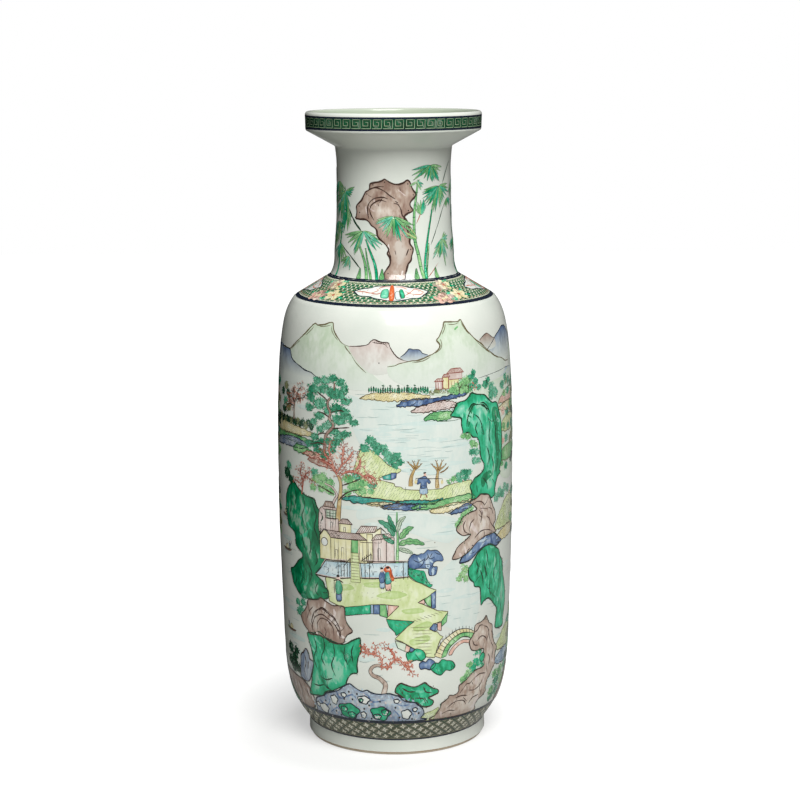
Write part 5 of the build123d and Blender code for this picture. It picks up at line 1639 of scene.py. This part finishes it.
# %% Rock and bamboo
def scholars_rock():
    """The standing stone: wider at its head, with a shallow cave in it and dots at its corners."""
    stone = ("-17,402.5 -14,403.5 -11,404 -8,405 -6.5,406 -4.5,405 -2,403.5 1,402.5 4,402.5 7,403.5 9,405 "
             "10.5,405 12,403 13,400 14.5,397.5 16,395.5 15,393.5 12.5,391 11.5,389 12,387 13.5,385 13,383.5 "
             "10,382.5 7.5,380.5 7.5,378.5 9,376.5 10,374 12.5,371 12.5,367 11,364.5 11,361.5 13,358.5 "
             "13,356 12,353 11.5,350 9.5,347.5 8.5,344 7.5,341 6,337 -5,337 -6.5,341 -5,344 -3,347 -2.5,350 "
             "-3,352.5 -4.5,355 -3.5,357.5 -4.5,359.5 -6.5,362 -9.5,364.5 -11.5,367 -12,370.5 -13.5,372.5 "
             "-16,374 -18,376.5 -21,378 -25,378 -29,378.5 -28.5,380 -28,383 -28.5,386.5 -27,388.5 -24,391 "
             "-22,394.5 -20.5,397 -18.5,398 -17.5,399.5")
    form("aubergine", stone, 1, "brown_ink", 1.1)
    wash("rock_brown", "-17,384 -16,388.5 -12,391 -6,390.6 -1,389.5 4,387.5 5.6,384 4.5,380.5 -3,378.5 "
         "-13,379.5", 1.4)
    creased(drawn(stone, closed=True), 9, 1.3, "pale_aubergine", 8.0, 0.9, -1.3, 4)
    creased(drawn(stone, closed=True), 12, 1.7, "brown_ink", 5.0, 0.3, -1.3, 8)
    lines("brown_ink", ("-18,378.5 -19,384 -18,389 -14,392.5 -8,393.6 -4,392.4", "-17,399.5 -12,400 -7,398 "
                        "-3,395 1,392.4", "-14,377.5 -17,383 -16,388 -10,391.5 -5,390.4",
                        "0,389.4 3,388.6 5,385 6,381 9,378", "-8,393 -10,389.8", "1,391 3,389.6",
                        "7.5,380 10,376", "-19,398 -13,400.4 -7,401", "9,372 11,366", "10,358 8,353",
                        "-4,358 -2,352"), 0.85, 1.8)
    dabs("ink", "-14.8,402 -6.3,404 10,402.6 14,395 10.3,384.4 -19.5,395.6 -4,341.2 11.4,357.6 -25.5,382.6 "
         "-26,387", 0, 0.95, 1.0, 2, "dot")


def leafy(root, tips, layer):
    """A hanging spray: shorter pale leaves behind, and long ones of three greens over them."""
    tips = marks(tips)
    tips = tips[np.argsort(np.arctan2(*(tips - root).T))]
    between = (tips[1:] + tips[:-1]) / 2
    spray(root, np.asarray(root) + (between - root) * 1.04, layer - 2.0, ("apple_green", "emerald_light"),
          "green_ink", 1.2)
    spray(root, tips, layer, ("apple_green", "emerald_light", "apple_green", "emerald"), "dark_green_ink")


def bamboo_right():
    """Three stalks to the right of the stone, with hanging sprays."""
    line("coral_ink", "23,338 28,342 33,347", 0.4, 0.9)
    line("coral_ink", "16,375 19,381 22,388 26,395", 0.55, 0.9)
    line("dark_green_ink", "27,360 31,367 35,374 40,383 45,390", 0.6, 0.9)
    line("dark_green_ink", "41,402 46,410 52,417", 0.9, 0.9)
    bamboo("20,337 17,353 14.5,365 14.5,380 15.5,390 17,400 18,405", 2.4, 1, "apple_green")
    bamboo("21.5,337 22,350 24,362 27,375 30,388", 1.9, 1.3, "emerald")
    bamboo("25,361 24,350 22.6,338", 1.2, 1.2, "apple_green")
    for k, (root, tips) in enumerate(((("28,415"), "14,405 13,412 20,408 25,404 22,410 30,403 37,403 36,408 "
                                       "40,413 33,405 28,405 17,407"), (("36,400"), "21,395 22,390 25,387 "
            "28,383 32,382 37,385 43,391 50,395 22,398 48,401 30,390 40,388"), (("38,363"),
            "30,357 28,350 34,350 40,350 46,355 46,365 42,368 31,353 37,352 44,360 41,344"), (("57,402"),
            "50,395 52,390 58,391 64,395 66,402 62,406 55,394"), (("56,362"), "48,358 50,353 56,352 62,355 "
            "65,360"), (("47,391"), "42,386 46,384 52,385 54,389"),
                                      (("20,381"), "15,386 17,390 22,392 24,388"),
                                      (("17,404"), "11,401 20,398 22,402"),
                                      (("66,385"), "60,380 63,375 69,374 74,379"),
                                      (("64,342"), "58,345 61,338 70,339"))):
        root = tuple(marks(root)[0])
        leafy(root, tips, 3.5 + 0.15 * k)
    spray((16.4, 364.5), "7,370 8.5,373 8,366.5 11,373", 4, ("apple_green", "grass"), "dark_green_ink", 1.2)
    bamboo("58,337 58.5,355 57,375 58,395 60,412", 2.0, 1, "emerald")
    bamboo("66,337 66,350 67,366 66,384", 1.8, 1, "apple_green")


def bamboo_left():
    """Stalks that lean in from the left, darker where they stand behind."""
    bamboo("-18,337 -21,350 -25,360 -27,368", 2.1, 1, "apple_green")
    bamboo("-15,337 -18,347 -20,358", 1.5, 1.2, "apple_green")
    bamboo("-11,337 -13,347 -17,357 -20,364", 2.0, 1.4, "emerald")
    line("dark_green_ink", "-24,344 -34,353 -45,360", 0.9, 0.9)
    line("dark_green_ink", "-24,370 -30,376 -36,385", 1.3, 0.9)
    bamboo("-47,337 -46,355 -44,372 -42,390", 2.0, 0.8, "emerald")
    for k, (root, tips) in enumerate(((("-22,370"), "-40,366 -36,361 -29,353 -25,358 -15,360 -12,357 -8,361 "
                                       "-12,367 -30,356 -34,363"), (("-40,396"), "-52,400 -30,400 -34,393 "
            "-35,380 -43,373 -50,385 -38,376 -46,380 -32,396 -54,392"), (("-38,384"),
            "-34,374 -37,369 -42,367 -46,372 -33,379"), (("-55,367"), "-64,362 -60,357 -52,357 -48,362 "
            "-56,354"), (("-34,352"), "-44,347 -40,343 -33,342 -36,344"), (("-57,396"),
            "-66,392 -63,386 -56,384 -52,388"), (("-50,403"), "-60,396 -57,390 -50,388 -44,392 -41,398"),
                                      (("-46,389"), "-56,383 -52,377 -46,375 -40,379 -38,386"), (("-50,375"),
            "-60,369 -57,362 -50,360 -44,364 -41,371"), (("-44,360"), "-54,353 -50,347 -43,346 -37,351"),
                                      (("-64,412"), "-72,404 -68,401 -62,402 -57,405"))):
        leafy(tuple(marks(root)[0]), tips, 3.5 + 0.15 * k)
    bamboo("-62,337 -63,360 -61,385 -63,408", 2.0, 0.8, "apple_green")


def neck_garden():
    """Stone, bamboo and young shoots, with a spray of leaves across the stone."""
    bamboo_left()
    scholars_rock()
    bamboo_right()
    leafy((0, 380.5), "-12,378 -8,370 -5,366 0,366 5,363 10,372 14,368 -13,375 14,374", 5)
    for u in (-24, -8, 15, 30):
        form("apple_green", [(u - 1.5, 337.4), (u - 1, 341), (u, 344.5), (u + 1, 341), (u + 1.5, 337.4)],
             2.2, "dark_green_ink", 0.3)
        ticks("dark_green_ink", [(u, 338), (u, 343)], 2.0, 1.2, 3, 0.35, 0.4)


sheet["around"] = neck_around
neck_garden()
placed(neck_garden, 129, mirror=-1)
ring_line = np.column_stack([np.linspace(-np.pi, np.pi, 181) * neck_around, np.full(181, 336.7)])
line("blue_black", ring_line, 0.9, 1, sharp=True, ends=1.0)
sheet["around"] = body_around

# %% [markdown]
# ## The bands
# Three ruled bands close the picture: a lattice with flowers and four cloud-shaped panels on the shoulder,
# a square key fret on the edge of the mouth, and a trellis of small stars above the foot. Each is a flat
# ground of enamel between two blue-black lines, with its pattern drawn over it.

# %% Ruled bands
def ruled_band(ground, low, high, columns=240, rows=6, layer=0.0):
    """The ground of a band: a grid that goes once round the wall between two heights on the sheet."""
    u, z = np.meshgrid(np.linspace(-np.pi, np.pi, columns + 1) * sheet["around"],
                       np.linspace(low, high, rows + 1))
    corners = grid_faces(rows + 1, columns + 1)
    lay(ground, np.column_stack([u.ravel(), z.ravel()]),
        np.vstack([corners[:, [0, 1, 2]], corners[:, [0, 2, 3]]]), layer)


def ruled_ring(ink, height, width, layer):
    """A line drawn once round the wall, on the wheel."""
    ruled_band(ink, height - width / 2, height + width / 2, 240, 1, layer)


def shoulder_pattern():
    """Crossed diagonals on a pale ground with a dot in each mesh, flowers here and there, and four panels."""
    around = 2 * np.pi * sheet["around"]
    ruled_band("shoulder_ground", 2.0, 30.4, rows=8)
    pitch = around / 90
    first = np.arange(-45, 45) * pitch
    for slope in (1, -1):
        for u in first:
            line("emerald_line", [(u, 4.4), (u + slope * 9.4, 16.5), (u + slope * 18.8, 28.6)], 1.25, 1)
    nodes = np.array([(u + (k % 2) * pitch / 2, 6.4 + k * 2.65) for u in first for k in range(8)])
    dabs("dark_green", nodes, 0.8, 2.4, 1.1, 1.6, "dot")
    dabs("cream", nodes + (pitch / 2, 0), 0, 1.5, 1.5, 1.6, "dot")
    dabs("coral", nodes[::4] + (pitch / 2, 0.2), 0, 1.0, 1.0, 1.9, "dot")
    for height, width in marks("3.2,2.9 29.4,1.8"):
        ruled_ring("blue_black", height, width, 2)
    for height in (5.2, 27.9):
        ruled_ring("cream", height, 0.45, 2)
    for quarter in range(4):
        placed(cloud_panel, (quarter - 2) * around / 4)
        placed(band_flowers, (quarter - 2) * around / 4)


def cloud_panel():
    """A panel with a lobed edge, left white, holding two bound scrolls with ribbons."""
    panel = ("-30,18 -25,21 -18,22.5 -14,24.5 0,25.5 6,25 12,23 17,22 22,20 25,17.5 21,14.5 17,11.5 11,11 "
             "8,10 0,8.5 -8,10 -14,11.5 -17,13 -24,13.5 -28,16")
    form("white", panel, 2.5, "blue_black", 0.9)
    form("emerald_light", "-8.5,12 -9.4,16 -8.5,20.5 -4.6,21 -4.2,12.4", 3.2, "green_ink", 0.45)
    form("lake_blue", "1,10.6 0.8,18 4,18.4 4.4,11", 3.2, "blue_black", 0.4)
    form("emerald", "4.4,12 4,20 6.4,20.4 7,12.6", 3.3, "dark_green_ink", 0.45)
    form("orange", "-3.2,10 -3,24 -0.4,24.4 -0.3,10.2", 3.5, "coral_ink", 0.4)
    dabs("coral_ink", "-26,19 -23,16.4 -20,20 -15,14.6 -11,21.6 9,12.4 13,14 18,18.4 21,15 -6,9.6 10,23.6 "
         "-2,25", (0.3, 2, 1, 0.5, 2.5, 0.2, 1.1, 2, 0.4, 0, 2.8, 0.1), 3, 0.4, 3.3)
    lines("coral", ("-28,18 -22,18 -17,17 -12,20 -14,22", "-17,17 -12,16 -9,18", "7,14 12,18 16,21 22,17",
                    "8,19 12,16 18,15 21,17", "-3,24 -8,24 -12,22.4", "0,24 6,23.6 10,21"), 0.85, 3.4)


def band_flowers():
    """Five-petalled flowers and leaves strewn over the lattice between the panels."""
    for u, v, name in ((48, 12, "yellow"), (39, 23, "aubergine"), (-50, 23.5, "yellow"),
                       (-57, 10, "aubergine"), (33, 9, "blossom")):
        turn = np.linspace(0, 2 * np.pi, 6)[:-1] + 0.3
        petals = np.column_stack([u + 4.2 * np.cos(turn), v + 3.2 * np.sin(turn)])
        dabs(name, petals, turn, 6.0, 4.6, 2.4, "dot")
        dabs("coral" if name == "yellow" else "yellow", [(u, v)], 0, 2.6, 2.4, 2.9, "dot")
        dabs("coral_ink", np.column_stack([u + 3 * np.cos(turn), v + 2.4 * np.sin(turn)]), turn, 3, 0.35, 2.8)
        dabs("emerald", [(u - 7.5, v + 2), (u + 7.5, v - 2), (u + 6, v + 4)], (2.6, -0.4, 0.7), 5, 2, 2.2,
             "leaf")


def fret_pattern():
    """A plain square spiral, line after line, drawn as one unit and repeated round the mouth's edge."""
    around = 2 * np.pi * sheet["around"]
    ruled_band("lip_ground", 440.0, 449.3, rows=3)
    ruled_ring("blue_black", 440.7, 1.5, 1)
    ruled_ring("blue_black", 448.7, 1.3, 1)
    count = 52
    pitch = around / count
    unit = np.array([(0, 0), (1, 0), (1, 1), (0.16, 1), (0.16, 0.3), (0.72, 0.3), (0.72, 0.7), (0.44, 0.7)])
    for k in range(count):
        u = k * pitch - around / 2
        spiral = np.column_stack([u + 0.06 * pitch + unit[:, 0] * pitch * 0.86, 441.7 + unit[:, 1] * 6.0])
        line("fret_black", spiral, 1.15, 1, sharp=True, ends=1.0)
        line("cream_dot", spiral + (0.1, 0.05), 0.42, 1.5, sharp=True, ends=1.0)


def trellis_pattern():
    """Crossed diagonals on an olive ground with a four-pointed star in every mesh."""
    around = 2 * np.pi * sheet["around"]
    ruled_band("foot_ground", 11.0, 28.2, rows=8)
    count = 52
    pitch = around / count
    row_gap = 3.2
    first_row = 11.3
    reach = (27.7 - first_row) / row_gap * pitch / 2
    for k in range(count):
        u = k * pitch - around / 2
        for slope in (1, -1):
            line("trellis_green", [(u, first_row), (u + slope * reach, 27.7)], 0.6, 1, ends=1.0)
    stars = np.array([(k * pitch + (row % 2) * pitch / 2 - around / 2, 14.5 + row * row_gap)
                      for k in range(count) for row in range(4)])
    for turn in (0.2, 1.77):
        dabs("cream", stars, turn, 5.0, 1.5, 1.6, "leaf")
    dabs("trellis_green", stars, 0, 0.8, 0.8, 1.9, "dot")
    ruled_ring("blue_black", 11.9, 1.9, 2)
    ruled_ring("blue_black", 27.5, 2.0, 2)


placed(shoulder_pattern, z=shoulder_edge[1], rise=0.516, around=shoulder_around)
placed(fret_pattern, around=lip_around)
placed(trellis_pattern, around=foot_around)

# %% The enamel fire
fire_enamels()

# %% [markdown]
# ## Light and floor
# The vase was photographed on a white sweep with one large soft box, high, to the right and in front. The
# left side of a glossy cylinder then reflects the dark room and goes grey, the underside of the mouth lies
# in its own shade, and a soft shadow falls on the sweep to the left and behind. A black card outside the
# picture keeps the left edge dark. A lamp behind the vase lights only its back, for views from there.

# %% Lamps
def lamp(name, size, power, place, aim):
    """A square soft box that points at a place."""
    data = bpy.data.lights.new(name, "AREA")
    data.size = size
    data.energy = power
    obj = bpy.data.objects.new(name, data)
    bpy.context.scene.collection.objects.link(obj)
    obj.location = place
    obj.rotation_mode = "QUATERNION"
    obj.rotation_quaternion = (Vector(aim) - Vector(place)).to_track_quat("-Z", "Y")
    return obj


lamp("key_softbox", 2.0, 152.0, (0.5, -2.1, 2.8), (0, 0, 0.22))

# %% A black card beside the vase, which darkens its left edge
card_near = (-0.2, -0.02)
card_far = (-0.1, 0.27)
card_height = 0.7
card = new_mesh("black_card", np.array([[*card_near, 0], [*card_far, 0], [*card_far, card_height],
                                        [*card_near, card_height]]), [[[0, 1, 2, 3]]])
card.visible_camera = card.visible_shadow = False
black = bpy.data.materials.new("black_card")
black.use_nodes = True
tree = black.node_tree
tree.nodes.clear()
add(tree, "ShaderNodeOutputMaterial", Surface=add(tree, "ShaderNodeBsdfDiffuse",
    Color=linear("#0C0C0C")).outputs[0])
card.data.materials.append(black)

# %% White surroundings, dim for everything but the camera
room_strength = 0.05
mirrored_strength = 0.03
world = bpy.data.worlds.new("studio")
bpy.context.scene.world = world
world.use_nodes = True
tree = world.node_tree
tree.nodes.clear()
ray = add(tree, "ShaderNodeLightPath")
seen = add(tree, "ShaderNodeMath", {"operation": "MAXIMUM"}, n0=ray.outputs["Is Camera Ray"],
           n1=ray.outputs["Is Transmission Ray"])
room = add(tree, "ShaderNodeMix", Factor=ray.outputs["Is Glossy Ray"], A=room_strength, B=mirrored_strength)
strength = add(tree, "ShaderNodeMix", Factor=seen.outputs[0], B=1.0)
tree.links.new(room.outputs[0], strength.inputs["A"])
background = add(tree, "ShaderNodeBackground", Color=linear("#FFFFFF"), Strength=strength.outputs[0])
out = add(tree, "ShaderNodeOutputWorld", Surface=background.outputs[0])

# %% The sweep: white paper that shows only the shadow
paper_glow = 0.5
floor_half = 3.0
floor_drop = 0.0002
floor = new_mesh("floor", np.array([[-1, -1, 0], [1, -1, 0], [1, 1, 0], [-1, 1, 0]]) * floor_half
                 - [0, 0, floor_drop], [[[0, 1, 2, 3]]])
paper = bpy.data.materials.new("white_paper")
paper.use_nodes = True
tree = paper.node_tree
tree.nodes.clear()
ray = add(tree, "ShaderNodeLightPath").outputs["Is Camera Ray"]
place = add(tree, "ShaderNodeTexCoord").outputs["Object"]
shifted = add(tree, "ShaderNodeVectorMath", {"operation": "ADD"}, n0=place, n1=(0.025, 0.02, 0.0))
away = add(tree, "ShaderNodeVectorMath", {"operation": "LENGTH"}, n0=shifted.outputs["Vector"])
falling = add(tree, "ShaderNodeMapRange", Value=away.outputs["Value"], From_Min=0.07, From_Max=0.2,
              To_Min=paper_glow, To_Max=1.0)
glow_strength = add(tree, "ShaderNodeMath", {"operation": "MULTIPLY"}, n0=falling.outputs[0], n1=ray)
glow = add(tree, "ShaderNodeEmission", Color=linear("#FFFFFF"), Strength=glow_strength.outputs[0])
face = add(tree, "ShaderNodeBsdfDiffuse", Color=linear("#B4B4B2"))
both = add(tree, "ShaderNodeAddShader", n0=glow.outputs[0], n1=face.outputs[0])
add(tree, "ShaderNodeOutputMaterial", Surface=both.outputs[0])
floor.data.materials.append(paper)

# %% A lamp behind, for looks at the back: it lights no paper, casts no shadow and isn't mirrored in the glaze
back_lamp = lamp("back_softbox", 1.4, 45.0, (0.0, 2.4, 1.5), (0, 0, 0.22))
back_lamp.data.use_shadow = False
back_lamp.visible_glossy = False
unlit = bpy.data.collections.new("unlit_by_back_lamp")
unlit.objects.link(floor)
back_lamp.light_linking.receiver_collection = unlit
unlit.collection_objects[0].light_linking.link_state = "EXCLUDE"

# %% Finish: the view transform
bpy.context.scene.view_settings.view_transform = "Standard"
